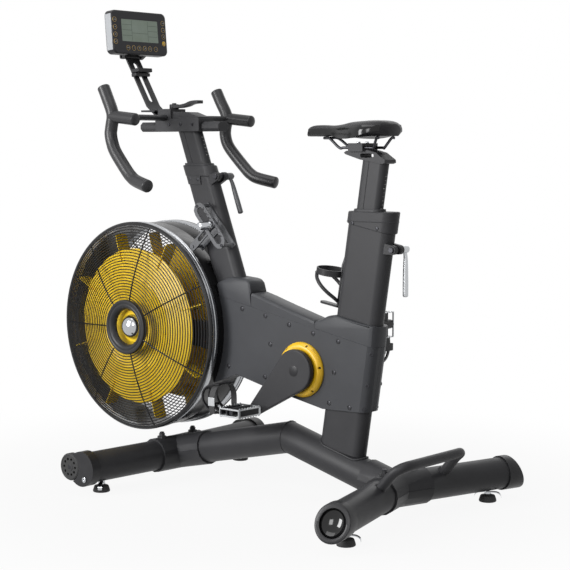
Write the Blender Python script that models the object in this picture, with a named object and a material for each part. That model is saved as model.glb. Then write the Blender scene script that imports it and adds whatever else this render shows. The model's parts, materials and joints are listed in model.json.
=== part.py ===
"""Air bike: a belt-driven fan bike with sliding saddle and handlebar. Lengths in metres, +Z up.

The machine faces -X, its left side is at -Y, and the floor is z = 0. Inside this script x is measured
from the crank axis; one parent empty then moves everything so that the machine stands centred.
"""
import math

import bmesh
import bpy
from mathutils import Matrix, Vector

# Fits
GAP = 0.0003
RUN = 0.0005

# Drive line
CRANK_X = -0.0213
CRANK_HEIGHT = 0.343
CRANK_LENGTH = 0.170
CRANK_ANGLE = math.radians(219.9)
CRANK_FACE = 0.067
CRANK_PLATE = 0.016
CRANK_BOSS = 0.054
SPINDLE_RADIUS = 0.012
CRANK_PULLEY_RADIUS = 0.043
FAN_PULLEY_RADIUS = 0.0145
BELT_THICKNESS = 0.003
BELT_LOW = 0.0025
BELT_HIGH = 0.0150
PULLEY_LOW = 0.0010
PULLEY_HIGH = 0.0165

# Fan and its case
FAN_REACH = 0.571
FAN_HEIGHT = 0.417
SHROUD_RADIUS = 0.280
SHROUD_WALL = 0.0055
SHROUD_HALF = 0.080
SHROUD_SIDES = 32
RIM_HEIGHT = 0.0035
RIM_WIDTH = 0.026
GRILLE_DEPTH = 0.041
GRILLE_HUB = 0.073
GRILLE_EYE = 0.048
GRILLE_RINGS = 4
GRILLE_SPOKES = 7
WIRE = 0.003
FAN_DISC_RADIUS = 0.211
FAN_DISC_OFFSET = 0.080
BLADES = 8
BLADE_TIP = 0.258
BLADE_INNER = 0.043
BLADE_OUTER = 0.085
AXLE_RADIUS = 0.010
DOME_RADIUS = 0.033

# Base
BASE_HEIGHT = 0.069
TUBE_RADIUS = 0.0405
TUBE_WALL = 0.003
FRONT_REACH = 0.492
FRONT_HALF = 0.341
FRONT_SWEEP = math.radians(3.6)
REAR_REACH = 0.243
REAR_HALF = 0.366
REAR_SWEEP = math.radians(16.0)
SPINE_BEND_X = -0.089
SPINE_BEND_HEIGHT = 0.1575
CLAMP_WALL = 0.0055
CLAMP_ARM = 0.088
FOOT_OFFSET = 0.292
FRONT_FOOT_OFFSET = 0.272
STEM_RADIUS = 0.005
WHEEL_RADIUS = 0.036
WHEEL_AHEAD = 0.046
HANDLE_RADIUS = 0.0125
HANDLE_HALF = 0.130

# Seat column
SEAT_FOOT_X = 0.089
SEAT_FOOT_HEIGHT = 0.158
SEAT_LEAN = math.radians(8.8)
SEAT_TUBE_LENGTH = 0.584
SEAT_TUBE_DEPTH = 0.134
SEAT_TUBE_WIDTH = 0.048
SEAT_POST_TOP = 0.716
SEAT_POST_SHIFT = -0.012
SADDLE_LENGTH = 0.268
SADDLE_NOSE_X = -0.030
SADDLE_UNDER = 0.929
RAIL_HEIGHT = 0.9015
RAIL_SPREAD = 0.022
RAIL_RADIUS = 0.0035

# Head column
HEAD_FOOT_X = -0.255
HEAD_FOOT_HEIGHT = 0.456
HEAD_LEAN = math.radians(-20.7)
HEAD_TUBE_LENGTH = 0.424
HEAD_TUBE_DEPTH = 0.094
HEAD_TUBE_WIDTH = 0.042
POST_DEPTH = 0.070
POST_WIDTH = 0.032
COLUMN_WALL = 0.003
POST_WALL = 0.0025
SLIDE_FRONT_X = -0.611
SLIDE_REAR_X = -0.319
SLIDE_HEIGHT = 0.957
SLIDE_WIDTH = 0.040
SLIDE_DEPTH = 0.026

# Handlebar and console
BAR_X = -0.510
BAR_HEIGHT = 0.984
BAR_HALF = 0.220
BAR_RADIUS = 0.0127
GRIP_RADIUS = 0.0165
CONSOLE_WIDTH = 0.196
CONSOLE_HEIGHT = 0.112
CONSOLE_THICKNESS = 0.032
CONSOLE_TILT = math.radians(-5.0)
CONSOLE_PIVOT_X = -0.664
CONSOLE_PIVOT_HEIGHT = 1.150

# Covers
COVER_HALF = 0.032
COVER_WALL = 0.0025
COVER_TOP_FRONT = 0.5120
COVER_TOP_REAR = 0.4150
COVER_REAR_X = 0.2045

# Resistance plate
PLATE_X = -0.3095
PLATE_HEIGHT = 0.6985
PLATE_ANGLE = math.radians(-48.6)
PLATE_LENGTH = 0.145
PLATE_WIDTH = 0.041
PLATE_FACE = 0.067
ARM_REACH = 0.088

# Derived positions
FAN_X = -FAN_REACH
FRONT_X = -FRONT_REACH
MACHINE_FRONT = FAN_X - SHROUD_RADIUS - RIM_HEIGHT
CAP_OUTER = TUBE_RADIUS + 0.0035
CAP_LIP = 0.016
REAR_TUBE_HALF = REAR_HALF - 0.014
MACHINE_REAR = REAR_REACH + REAR_TUBE_HALF * math.tan(REAR_SWEEP) + CAP_OUTER * math.cos(REAR_SWEEP)
MACHINE_REAR += CAP_LIP * math.sin(REAR_SWEEP)
MIDDLE = Matrix.Rotation(-math.pi / 2.0, 4, "X")
SEAT = Matrix.Translation((SEAT_FOOT_X, 0.0, SEAT_FOOT_HEIGHT)) @ Matrix.Rotation(SEAT_LEAN, 4, "Y")
HEAD = Matrix.Translation((HEAD_FOOT_X, 0.0, HEAD_FOOT_HEIGHT)) @ Matrix.Rotation(HEAD_LEAN, 4, "Y")
SIDES = (("left", -1.0), ("right", 1.0))

for old in list(bpy.data.objects):
    bpy.data.objects.remove(old, do_unlink=True)

machine = bpy.data.objects.new("machine", None)
machine.location = (-(MACHINE_FRONT + MACHINE_REAR) / 2.0, 0.0, 0.0)
bpy.context.scene.collection.objects.link(machine)

FINISHES = {
    "frame_paint": ((0.030, 0.032, 0.036), 0.38, 0.0),
    "cover_plastic": ((0.045, 0.048, 0.053), 0.45, 0.0),
    "black_plastic": ((0.012, 0.012, 0.013), 0.45, 0.0),
    "rubber": ((0.015, 0.015, 0.015), 0.85, 0.0),
    "foam": ((0.012, 0.012, 0.012), 0.90, 0.0),
    "yellow_paint": ((0.80, 0.55, 0.02), 0.35, 0.0),
    "bright_steel": ((0.70, 0.70, 0.72), 0.22, 1.0),
    "grey_steel": ((0.35, 0.35, 0.37), 0.35, 1.0),
    "wire_paint": ((0.05, 0.05, 0.055), 0.40, 0.0),
    "silver_plastic": ((0.06, 0.06, 0.065), 0.35, 0.0),
    "vinyl": ((0.010, 0.010, 0.011), 0.50, 0.0),
}


# Shapes

def closed(bm):
    """Faces point outwards: made consistent, then turned over if the volume comes out negative."""
    bmesh.ops.recalc_face_normals(bm, faces=bm.faces)
    if bm.calc_volume(signed=True) < 0.0:
        bmesh.ops.reverse_faces(bm, faces=bm.faces)
    return bm


def skin(bm, rings, loop=False):
    """Joins each ring of vertices to the next with quads, or with triangles where a ring is a pole."""
    pairs = list(zip(rings, rings[1:]))
    if loop:
        pairs.append((rings[-1], rings[0]))
    for low, high in pairs:
        count = max(len(low), len(high))
        for i in range(count):
            j = (i + 1) % count
            corners = [low[i % len(low)], low[j % len(low)], high[j % len(high)], high[i % len(high)]]
            corners = list(dict.fromkeys(corners))
            bm.faces.new(corners)


def turned(profile, sides, loop=False, tilt=0.0):
    """A solid turned about local Z from (radius, height) points; tilt leans its upper rings."""
    bm = bmesh.new()
    rings = []
    for radius, height in profile:
        if radius == 0.0:
            rings.append([bm.verts.new((0.0, 0.0, height))])
            continue
        ring = []
        for i in range(sides):
            angle = 2.0 * math.pi * i / sides
            across = radius * math.sin(angle)
            lift = tilt * across if height > 0.005 else 0.0
            ring.append(bm.verts.new((radius * math.cos(angle), across, height + lift)))
        rings.append(ring)
    skin(bm, rings, loop)
    if not loop:
        for ring in (rings[0], rings[-1]):
            if len(ring) > 1:
                bm.faces.new(ring)
    return closed(bm)


def prism(outline, low, high):
    """An outline in local x and y, raised from low to high along local z."""
    bm = bmesh.new()
    face = bm.faces.new([bm.verts.new((u, v, low)) for u, v in outline])
    raised = bmesh.ops.extrude_face_region(bm, geom=[face])
    moved = [item for item in raised["geom"] if isinstance(item, bmesh.types.BMVert)]
    bmesh.ops.translate(bm, verts=moved, vec=(0.0, 0.0, high - low))
    return closed(bm)


def side_prism(outline, low, high):
    """An outline seen from the side, in x and z, carried across from y = low to y = high."""
    bm = prism(outline, -high, -low)
    bm.transform(Matrix.Rotation(math.pi / 2.0, 4, "X"))
    return closed(bm)


def box(x_low, x_high, y_low, y_high, z_low, z_high):
    return prism([(x_low, y_low), (x_high, y_low), (x_high, y_high), (x_low, y_high)], z_low, z_high)


def tube_prism(outer, inner, low, high):
    """A hollow section: two outlines of the same count, raised from low to high."""
    bm = bmesh.new()
    loops = [(outer, low), (outer, high), (inner, high), (inner, low)]
    rings = [[bm.verts.new((u, v, height)) for u, v in outline] for outline, height in loops]
    skin(bm, rings, loop=True)
    return closed(bm)


def pipe(path, radius, sides, bore=0.0):
    """A round tube along straight runs with mitred corners, hollow where a bore is given."""
    points = [Vector(point) for point in path]
    runs = [(b - a).normalized() for a, b in zip(points, points[1:])]
    bm = bmesh.new()

    def rings_of(size):
        first = runs[0]
        side = first.orthogonal().normalized()
        other = first.cross(side)
        offsets = []
        for i in range(sides):
            angle = 2.0 * math.pi * i / sides
            offsets.append((math.cos(angle) * side + math.sin(angle) * other) * size)
        rings = []
        for index, point in enumerate(points):
            if 0 < index < len(points) - 1:
                before, after = runs[index - 1], runs[index]
                plane = before + after
                slid = [o - before * (o.dot(plane) / before.dot(plane)) for o in offsets]
                rings.append([bm.verts.new(point + o) for o in slid])
                offsets = [o - after * o.dot(after) for o in slid]
            else:
                rings.append([bm.verts.new(point + o) for o in offsets])
        return rings

    outer = rings_of(radius)
    if bore:
        inner = rings_of(bore)
        skin(bm, outer + inner[::-1], loop=True)
    else:
        skin(bm, outer)
        bm.faces.new(outer[0])
        bm.faces.new(outer[-1])
    return closed(bm)


def arc(centre, radius, start, end, count):
    """Points on a circle in degrees from start to end, both included."""
    points = []
    for i in range(count):
        angle = math.radians(start + (end - start) * i / (count - 1))
        points.append((centre[0] + radius * math.cos(angle), centre[1] + radius * math.sin(angle)))
    return points


def stadium(length, width, count=6, shift=0.0):
    """A flat-oval outline, its length along local x."""
    run = (length - width) / 2.0
    front = arc((shift - run, 0.0), width / 2.0, 90.0, 270.0, count)
    rear = arc((shift + run, 0.0), width / 2.0, -90.0, 90.0, count)
    return front + rear


def teardrop(big, small, reach, angle, count):
    """Two circles and their tangents: big at the origin, small at reach along angle."""
    spread = math.degrees(math.acos((big - small) / reach))
    turn = math.degrees(angle)
    tip = (reach * math.cos(angle), reach * math.sin(angle))
    outline = arc((0.0, 0.0), big, turn + spread, turn + 360.0 - spread, 2 * count)
    return outline + arc(tip, small, turn - spread, turn + spread, count)


def inset(outline, amount):
    """The outline moved inwards by an even amount; the outline runs counter-clockwise."""
    result = []
    count = len(outline)
    for i in range(count):
        before = Vector(outline[i - 1])
        here = Vector(outline[i])
        after = Vector(outline[(i + 1) % count])
        first = (here - before).normalized()
        second = (after - here).normalized()
        normal = Vector((-first.y, first.x)) + Vector((-second.y, second.x))
        length = amount * 2.0 / normal.length
        moved = here + normal.normalized() * length
        result.append((moved.x, moved.y))
    return result


def ribbon(path, thickness):
    """The outline of a strip that follows a path."""
    left, right = [], []
    points = [Vector(point) for point in path]
    for i, point in enumerate(points):
        before = points[max(i - 1, 0)]
        after = points[min(i + 1, len(points) - 1)]
        along = (after - before).normalized()
        normal = Vector((-along.y, along.x)) * thickness / 2.0
        left.append(tuple(point + normal))
        right.append(tuple(point - normal))
    return left + right[::-1]


def moved(bm, matrix):
    bm.transform(matrix)
    return closed(bm)


def across(bm, x, z):
    """Turns a shape made along local Z so that it lies across the machine, along Y, at x and z."""
    return moved(bm, Matrix.Translation((x, 0.0, z)) @ MIDDLE)


def mirrored(bm, side):
    """A shape made for the left side, copied to the right side where side is positive."""
    if side > 0.0:
        bm.transform(Matrix.Scale(-1.0, 4, (0.0, 1.0, 0.0)))
    return closed(bm)


def soften(bm, offset, segments, chosen):
    """Rounds the edges for which chosen is true."""
    edges = [edge for edge in bm.edges if chosen(edge)]
    bmesh.ops.bevel(bm, geom=edges, offset=offset, segments=segments, affect="EDGES", profile=0.5)
    return closed(bm)


# Objects

def plain_object(name, bm, origin):
    bmesh.ops.translate(bm, verts=bm.verts, vec=-Vector(origin))
    mesh = bpy.data.meshes.new(name)
    bm.to_mesh(mesh)
    bm.free()
    obj = bpy.data.objects.new(name, mesh)
    obj.location = origin
    obj.parent = machine
    bpy.context.scene.collection.objects.link(obj)
    return obj


def piece(name, bm, finish, origin=(0.0, 0.0, 0.0)):
    """One sub-part with its own material; its origin lies on its joint's axis where it moves."""
    obj = plain_object(name, bm, origin)
    colour, roughness, metallic = FINISHES[finish]
    material = bpy.data.materials.new(name + "_" + finish)
    material.use_nodes = True
    shader = material.node_tree.nodes["Principled BSDF"]
    shader.inputs["Base Color"].default_value = (*colour, 1.0)
    shader.inputs["Roughness"].default_value = roughness
    shader.inputs["Metallic"].default_value = metallic
    obj.data.materials.append(material)
    obj.data.shade_smooth()
    obj.data.set_sharp_from_angle(angle=math.radians(35.0))
    return obj


def joined(obj, bm, operation):
    tool = plain_object(obj.name + "_tool_" + str(len(obj.modifiers)), bm, (0.0, 0.0, 0.0))
    tool.hide_render = True
    tool.display_type = "WIRE"
    step = obj.modifiers.new(operation.lower(), "BOOLEAN")
    step.operation = operation
    step.solver = "EXACT"
    step.object = tool
    return obj


def plus(obj, bm):
    return joined(obj, bm, "UNION")


def minus(obj, bm):
    return joined(obj, bm, "DIFFERENCE")


def only(obj, bm):
    return joined(obj, bm, "INTERSECT")


# Paths shared by the base pieces
FRONT_NODE = Vector((FRONT_X, 0.0, BASE_HEIGHT))
REAR_NODE = Vector((REAR_REACH, 0.0, BASE_HEIGHT))
BEND = Vector((SPINE_BEND_X, 0.0, SPINE_BEND_HEIGHT))
SPINE_PATH = (FRONT_NODE, BEND, REAR_NODE)
SHELL_RADIUS = TUBE_RADIUS + GAP + CLAMP_WALL
TUBE_FIT = TUBE_RADIUS + GAP


def rear_point(offset, height=BASE_HEIGHT):
    return Vector((REAR_REACH + abs(offset) * math.tan(REAR_SWEEP), offset, height))


def rear_path(half):
    return (rear_point(-half), REAR_NODE, rear_point(half))


def front_point(offset, height=BASE_HEIGHT):
    return Vector((FRONT_X - abs(offset) * math.tan(FRONT_SWEEP), offset, height))


def front_path(half):
    return (front_point(-half), FRONT_NODE, front_point(half))


def foot_point(end, side):
    if end == "front":
        return front_point(side * FRONT_FOOT_OFFSET, 0.0)
    return rear_point(side * FOOT_OFFSET, 0.0)


# Base: round steel tubes, the spine coped onto the front and rear tubes
FRONT_TUBE_HALF = FRONT_HALF - 0.026
front_base_tube = piece(
    "front_base_tube", pipe(front_path(FRONT_TUBE_HALF), TUBE_RADIUS, 18, TUBE_RADIUS - TUBE_WALL),
    "frame_paint")
rear_base_tube = piece(
    "rear_base_tube", pipe(rear_path(REAR_TUBE_HALF), TUBE_RADIUS, 18, TUBE_RADIUS - TUBE_WALL),
    "frame_paint")
spine_tube = piece(
    "spine_tube", pipe(SPINE_PATH, TUBE_RADIUS, 18, TUBE_RADIUS - TUBE_WALL), "frame_paint")
minus(spine_tube, pipe(front_path(0.2), TUBE_FIT, 18))
minus(spine_tube, pipe(rear_path(0.2), TUBE_FIT, 18))

# Clamp shells: a lower and an upper half round each tube joint, with three bolts in the upper half
for end, node, branch, reach in (("front", FRONT_NODE, 1.0, 0.118), ("rear", REAR_NODE, -1.0, 0.080)):
    along = (BEND - node).normalized()
    arm_end = node + along * reach
    half_path = front_path(CLAMP_ARM) if end == "front" else rear_path(CLAMP_ARM)
    long_path = front_path(0.2) if end == "front" else rear_path(0.2)
    seam = [(node.x - branch * 0.10, node.z), (node.x, node.z), (node.x + along.x * 0.2, node.z + along.z * 0.2)]
    for half, sign in (("upper", 1.0), ("lower", -1.0)):
        shell = piece(end + "_clamp_" + half, pipe(half_path, SHELL_RADIUS, 16), "cover_plastic")
        plus(shell, pipe((node, arm_end), SHELL_RADIUS - 0.0004, 16))
        minus(shell, pipe(long_path, TUBE_FIT, 18))
        minus(shell, pipe((node, node + along * 0.2), TUBE_FIT, 18))
        lift = sign * GAP
        edge = [(x, z + lift) for x, z in seam]
        far = [(edge[2][0], node.z + sign * 0.2), (edge[0][0], node.z + sign * 0.2)]
        only(shell, side_prism(edge + far, -0.25, 0.25))
        if half == "upper":
            for offset in (-0.060, 0.060):
                spot = front_point(offset) if end == "front" else rear_point(offset)
                bolt = turned([(0.0, 0.0), (0.0125, 0.0), (0.0125, 0.0065), (0.0080, 0.0075), (0.0080, 0.0140),
                               (0.0, 0.0155)], 8)
                plus(shell, moved(bolt, Matrix.Translation(spot + Vector((0.0, 0.0, TUBE_RADIUS + 0.003)))))

# Front end caps, each with a pin for its transport wheel; rear end caps with a dished face
CAP_LOW = FRONT_HALF - 0.042
CAP_X = front_point(FRONT_HALF - 0.021).x
WHEEL_X = CAP_X - WHEEL_AHEAD
for name, side in SIDES:
    cap_bm = side_prism(teardrop(CAP_OUTER + 0.002, 0.024, WHEEL_AHEAD, math.pi, 8), -FRONT_HALF, -CAP_LOW)
    moved(cap_bm, Matrix.Translation((CAP_X, 0.0, BASE_HEIGHT)))
    cap = piece("front_" + name + "_end_cap", mirrored(cap_bm, side), "black_plastic")
    tube_end = front_point(side * FRONT_TUBE_HALF)
    inward = (FRONT_NODE - tube_end).normalized()
    minus(cap, pipe((tube_end + inward * 0.05, tube_end - inward * GAP), TUBE_FIT, 18))
    well = Vector((WHEEL_X, side * (FRONT_HALF - 0.0215), BASE_HEIGHT))
    minus(cap, pipe((well, well + Vector((0.0, side * 0.03, 0.0))), WHEEL_RADIUS + 0.0015, 18))
    plus(cap, pipe((well - Vector((0.0, side * 0.002, 0.0)), well + Vector((0.0, side * 0.0205, 0.0))), 0.005, 10))

    wheel_profile = [(0.005 + RUN, 0.0), (0.030, 0.0), (WHEEL_RADIUS, 0.003), (WHEEL_RADIUS, 0.017),
                     (0.031, 0.020), (0.026, 0.0185), (0.010, 0.0185), (0.005 + RUN, 0.020)]
    wheel_bm = across(turned(wheel_profile, 14, loop=True), WHEEL_X, BASE_HEIGHT)
    moved(wheel_bm, Matrix.Translation((0.0, FRONT_HALF - 0.0209, 0.0)))
    piece("front_" + name + "_wheel", mirrored(wheel_bm, -side), "rubber",
          (WHEEL_X, side * (FRONT_HALF - 0.011), BASE_HEIGHT))

    cap_fit = TUBE_FIT / math.cos(math.pi / 16.0)
    dish = [(0.0, GAP), (cap_fit, GAP), (cap_fit, -0.024), (CAP_OUTER, -0.024), (CAP_OUTER, CAP_LIP),
            (CAP_OUTER - 0.0025, 0.019), (0.031, 0.019), (0.027, 0.0135), (0.014, 0.0095), (0.0, 0.0085)]
    outward = (rear_point(-0.3) - rear_point(-0.2)).normalized()
    up = Vector((0.0, 0.0, 1.0))
    turn = Matrix((up.cross(outward) * -1.0, -up, outward)).transposed().to_4x4()
    dish_bm = moved(turned(dish, 16, tilt=0.38), Matrix.Translation(rear_point(-REAR_TUBE_HALF)) @ turn)
    piece("rear_" + name + "_end_cap", mirrored(dish_bm, side), "black_plastic")

# Levelling feet: a rubber pad on a threaded stem with a two-wing finger nut
WING_PATH = ((-0.031, 0.0150), (-0.026, 0.0205), (-0.012, 0.0225), (0.012, 0.0225), (0.026, 0.0205), (0.031, 0.0150))
WING_TURN = {"front": math.radians(-50.0), "rear": math.radians(30.0)}
for end, tube in (("front", front_base_tube), ("rear", rear_base_tube)):
    for name, side in SIDES:
        spot = foot_point(end, side)
        stem_top = BASE_HEIGHT - TUBE_RADIUS + 0.030
        foot_bm = turned([(0.0, 0.0), (0.0215, 0.0), (0.0225, 0.003), (0.0185, 0.0165), (0.0085, 0.0190),
                          (0.0085, 0.0250), (STEM_RADIUS, 0.0250), (STEM_RADIUS, stem_top), (0.0, stem_top)], 12)
        foot = piece(end + "_" + name + "_foot", moved(foot_bm, Matrix.Translation(spot)), "rubber", spot)
        wings = side_prism(ribbon(WING_PATH, 0.0024), -0.0055, 0.0055)
        plus(foot, moved(wings, Matrix.Translation(spot) @ Matrix.Rotation(WING_TURN[end], 4, "Z")))
        hole_low = spot + Vector((0.0, 0.0, BASE_HEIGHT - TUBE_RADIUS - 0.01))
        minus(tube, pipe((hole_low, hole_low + Vector((0.0, 0.0, 0.03))), STEM_RADIUS + RUN, 14))

# Lift handle: a bent tube on the rear arms
HANDLE_X = rear_point(HANDLE_HALF).x
handle_side = [(HANDLE_X, HANDLE_HALF, BASE_HEIGHT), (HANDLE_X + 0.034, HANDLE_HALF, BASE_HEIGHT + 0.047),
               (HANDLE_X + 0.066, HANDLE_HALF - 0.003, BASE_HEIGHT + 0.075),
               (HANDLE_X + 0.084, HANDLE_HALF - 0.012, BASE_HEIGHT + 0.086),
               (HANDLE_X + 0.092, HANDLE_HALF - 0.030, BASE_HEIGHT + 0.090)]
handle_path = [(x, -y, z) for x, y, z in handle_side] + handle_side[::-1]
lift_handle = piece("lift_handle", pipe(handle_path, HANDLE_RADIUS, 10), "frame_paint")
minus(lift_handle, pipe(rear_path(0.3), TUBE_FIT, 18))

# Seat tube and head tube: flat-oval steel tubes
SEAT_OUTER = stadium(SEAT_TUBE_DEPTH, SEAT_TUBE_WIDTH)
HEAD_OUTER = stadium(HEAD_TUBE_DEPTH, HEAD_TUBE_WIDTH)


def seat_envelope(extra, low, high):
    return moved(prism(stadium(SEAT_TUBE_DEPTH + 2.0 * extra, SEAT_TUBE_WIDTH + 2.0 * extra), low, high), SEAT)


def head_envelope(extra, low, high):
    return moved(prism(stadium(HEAD_TUBE_DEPTH + 2.0 * extra, HEAD_TUBE_WIDTH + 2.0 * extra), low, high), HEAD)


seat_inner = stadium(SEAT_TUBE_DEPTH - 2.0 * COLUMN_WALL, SEAT_TUBE_WIDTH - 2.0 * COLUMN_WALL)
seat_tube = piece("seat_tube", moved(tube_prism(SEAT_OUTER, seat_inner, -0.048, SEAT_TUBE_LENGTH), SEAT),
                  "frame_paint")
minus(seat_tube, pipe(SPINE_PATH, TUBE_FIT, 18))
head_inner = stadium(HEAD_TUBE_DEPTH - 2.0 * COLUMN_WALL, HEAD_TUBE_WIDTH - 2.0 * COLUMN_WALL)
head_tube = piece("head_tube", moved(tube_prism(HEAD_OUTER, head_inner, 0.0, HEAD_TUBE_LENGTH), HEAD),
                  "frame_paint")

# Main beam inside the covers: crank bearing, head tube seat, and the arm to the fan bearing
head_axis = HEAD.to_3x3() @ Vector((1.0, 0.0, 0.0))
head_foot = Vector((HEAD_FOOT_X, 0.0, HEAD_FOOT_HEIGHT)) - (HEAD.to_3x3() @ Vector((0.0, 0.0, 1.0))) * GAP
pad_rear = head_foot + head_axis * (HEAD_TUBE_DEPTH / 2.0)
pad_front = head_foot - head_axis * (HEAD_TUBE_DEPTH / 2.0)
BEARING = 0.028
PLATE_LEFT = -0.024
PLATE_RIGHT = -0.004
beam_outline = [(SEAT_FOOT_X, CRANK_HEIGHT - 0.045), (SEAT_FOOT_X + 0.010, CRANK_HEIGHT + 0.055),
                (pad_rear.x + 0.045, CRANK_HEIGHT + 0.092), (pad_rear.x, pad_rear.z - 0.002), (pad_front.x, pad_front.z - 0.002)]
beam_outline += arc((FAN_X, FAN_HEIGHT), BEARING, 80.0, 275.0, 8)
beam_outline += [(-0.130, CRANK_HEIGHT - 0.002)]
beam_outline += arc((CRANK_X, CRANK_HEIGHT), BEARING, 200.0, 290.0, 5)
main_beam = piece("main_beam", side_prism(beam_outline, PLATE_LEFT, PLATE_RIGHT), "frame_paint")
block_outline = [(pad_front.x, pad_front.z), (pad_front.x + 0.006, pad_front.z - 0.014), (pad_rear.x + 0.004, pad_rear.z - 0.030),
                 (pad_rear.x, pad_rear.z)]
plus(main_beam, side_prism(block_outline, -HEAD_TUBE_WIDTH / 2.0, HEAD_TUBE_WIDTH / 2.0))
shell_low, shell_high = PLATE_LEFT - 0.004, PULLEY_LOW - 0.002
plus(main_beam, across(turned([(0.0, shell_low), (0.022, shell_low), (0.022, shell_high), (0.0, shell_high)], 16),
                       CRANK_X, CRANK_HEIGHT))
minus(main_beam, seat_envelope(GAP, 0.0, 0.5))
for bore_x, bore_z, bore in ((FAN_X, FAN_HEIGHT, AXLE_RADIUS + RUN), (CRANK_X, CRANK_HEIGHT, SPINDLE_RADIUS + RUN)):
    minus(main_beam, across(turned([(0.0, -0.05), (bore, -0.05), (bore, 0.05), (0.0, 0.05)], 14), bore_x, bore_z))

# Fan case: a rolled band with a raised bright rim at each side
FAN_CENTRE = (FAN_X, FAN_HEIGHT)
shroud_inner = SHROUD_RADIUS - SHROUD_WALL
rim_radius = SHROUD_RADIUS + RIM_HEIGHT
rim_inside = SHROUD_HALF - RIM_WIDTH
shroud_loop = [(shroud_inner, -SHROUD_HALF), (rim_radius, -SHROUD_HALF), (rim_radius, -rim_inside),
               (SHROUD_RADIUS, -rim_inside + 0.001), (SHROUD_RADIUS, rim_inside - 0.001), (rim_radius, rim_inside),
               (rim_radius, SHROUD_HALF), (shroud_inner, SHROUD_HALF)]
fan_shroud = piece("fan_shroud", across(turned(shroud_loop, SHROUD_SIDES, loop=True), FAN_X, FAN_HEIGHT), "black_plastic")
slot_share = SHROUD_RADIUS / (CRANK_X - FAN_X)
belt_half = FAN_PULLEY_RADIUS + (CRANK_PULLEY_RADIUS - FAN_PULLEY_RADIUS) * slot_share + BELT_THICKNESS
SLOT_LOW = FAN_HEIGHT + (CRANK_HEIGHT - FAN_HEIGHT) * slot_share - belt_half - 0.008
SLOT_HIGH = FAN_HEIGHT + 0.050
minus(fan_shroud, box(FAN_X + 0.15, FAN_X + 0.35, -0.028, 0.022, SLOT_LOW, SLOT_HIGH))
minus(fan_shroud, head_envelope(0.002, -0.05, 0.30))


def dome(radius):
    """How far the grille stands out beyond the case at this radius."""
    share = (radius - GRILLE_HUB) / (SHROUD_RADIUS - GRILLE_HUB)
    return GRILLE_DEPTH * (1.0 - max(share, 0.0) ** 2)


def grille():
    """Wire rings and spokes as strips on the dome; the left side's grille, made about local Z."""
    bands = [(GRILLE_EYE, GRILLE_HUB)]
    first, last = GRILLE_HUB + 0.020, shroud_inner - 0.018
    for i in range(GRILLE_RINGS):
        radius = first + (last - first) * i / (GRILLE_RINGS - 1)
        bands.append((radius - WIRE / 2.0, radius + WIRE / 2.0))
    bands.append((shroud_inner + 0.0005, SHROUD_RADIUS))
    bm = bmesh.new()
    loops = []
    for band in bands:
        for radius in band:
            half = 0.0019 / radius
            angles = []
            for spoke in range(GRILLE_SPOKES):
                start = 2.0 * math.pi * (spoke + 0.525) / GRILLE_SPOKES
                free = 2.0 * math.pi / GRILLE_SPOKES - 2.0 * half
                angles += [start - half, start + half, start + half + free / 3.0, start + half + free * 2.0 / 3.0]
            height = dome(radius) if radius < SHROUD_RADIUS - 0.01 else 0.0
            loops.append([bm.verts.new((radius * math.cos(a), radius * math.sin(a), height)) for a in angles])
    for index in range(len(loops) - 1):
        low, high = loops[index], loops[index + 1]
        count = len(low)
        is_band = index % 2 == 0
        for i in range(count):
            if is_band or i % 4 == 0:
                j = (i + 1) % count
                bm.faces.new((low[i], low[j], high[j], high[i]))
    return closed(bm)


for name, side in SIDES:
    facing = Matrix.Translation((FAN_X, -SHROUD_HALF - GAP - WIRE / 2.0, FAN_HEIGHT)) @ Matrix.Rotation(math.pi / 2.0, 4, "X")
    wires = grille()
    wires.transform(facing)
    guard = piece(name + "_grille", mirrored(wires, side), "wire_paint")
    thick = guard.modifiers.new("thickness", "SOLIDIFY")
    thick.thickness = WIRE
    thick.offset = 0.0

# Fan: one shaft with a pulley, and a disc with eight blades on each side of the beam
cap_y = SHROUD_HALF + 0.014
shaft_half = [(0.0, cap_y + 0.028), (0.012, cap_y + 0.0265), (0.022, cap_y + 0.022), (0.030, cap_y + 0.013),
              (DOME_RADIUS, cap_y + 0.004), (DOME_RADIUS, cap_y), (AXLE_RADIUS, cap_y)]
shaft_profile = [(r, -h) for r, h in shaft_half]
shaft_profile += [(AXLE_RADIUS, PULLEY_LOW), (FAN_PULLEY_RADIUS + 0.003, PULLEY_LOW), (FAN_PULLEY_RADIUS + 0.003, PULLEY_LOW + 0.001),
                  (FAN_PULLEY_RADIUS, PULLEY_LOW + 0.001), (FAN_PULLEY_RADIUS, PULLEY_HIGH - 0.001),
                  (FAN_PULLEY_RADIUS, PULLEY_HIGH), (AXLE_RADIUS, PULLEY_HIGH)]
shaft_profile += shaft_half[::-1]
piece("fan_axle", across(turned(shaft_profile, 10), FAN_X, FAN_HEIGHT), "bright_steel", (FAN_X, 0.0, FAN_HEIGHT))
for name, side in SIDES:
    near = FAN_DISC_OFFSET - 0.0015
    far = FAN_DISC_OFFSET + 0.0015
    disc_loop = [(AXLE_RADIUS + GAP, near - 0.012), (AXLE_RADIUS + GAP, cap_y - GAP), (0.030, cap_y - GAP), (0.036, far),
                 (FAN_DISC_RADIUS, far), (FAN_DISC_RADIUS, near), (0.036, near), (0.030, near - 0.012)]
    disc_bm = mirrored(across(turned(disc_loop, 24, loop=True), FAN_X, FAN_HEIGHT), -side)
    fan = piece(name + "_fan", disc_bm, "yellow_paint", (FAN_X, 0.0, FAN_HEIGHT))
    low, high = sorted((side * BLADE_INNER, side * BLADE_OUTER))
    for i in range(BLADES):
        blade = box(FAN_DISC_RADIUS - 0.030, BLADE_TIP, low, high, -0.00125, 0.00125)
        turn = Matrix.Rotation(-math.radians(17.0 + 360.0 * i / BLADES), 4, "Y")
        plus(fan, moved(blade, Matrix.Translation((FAN_X, 0.0, FAN_HEIGHT)) @ turn))

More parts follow.
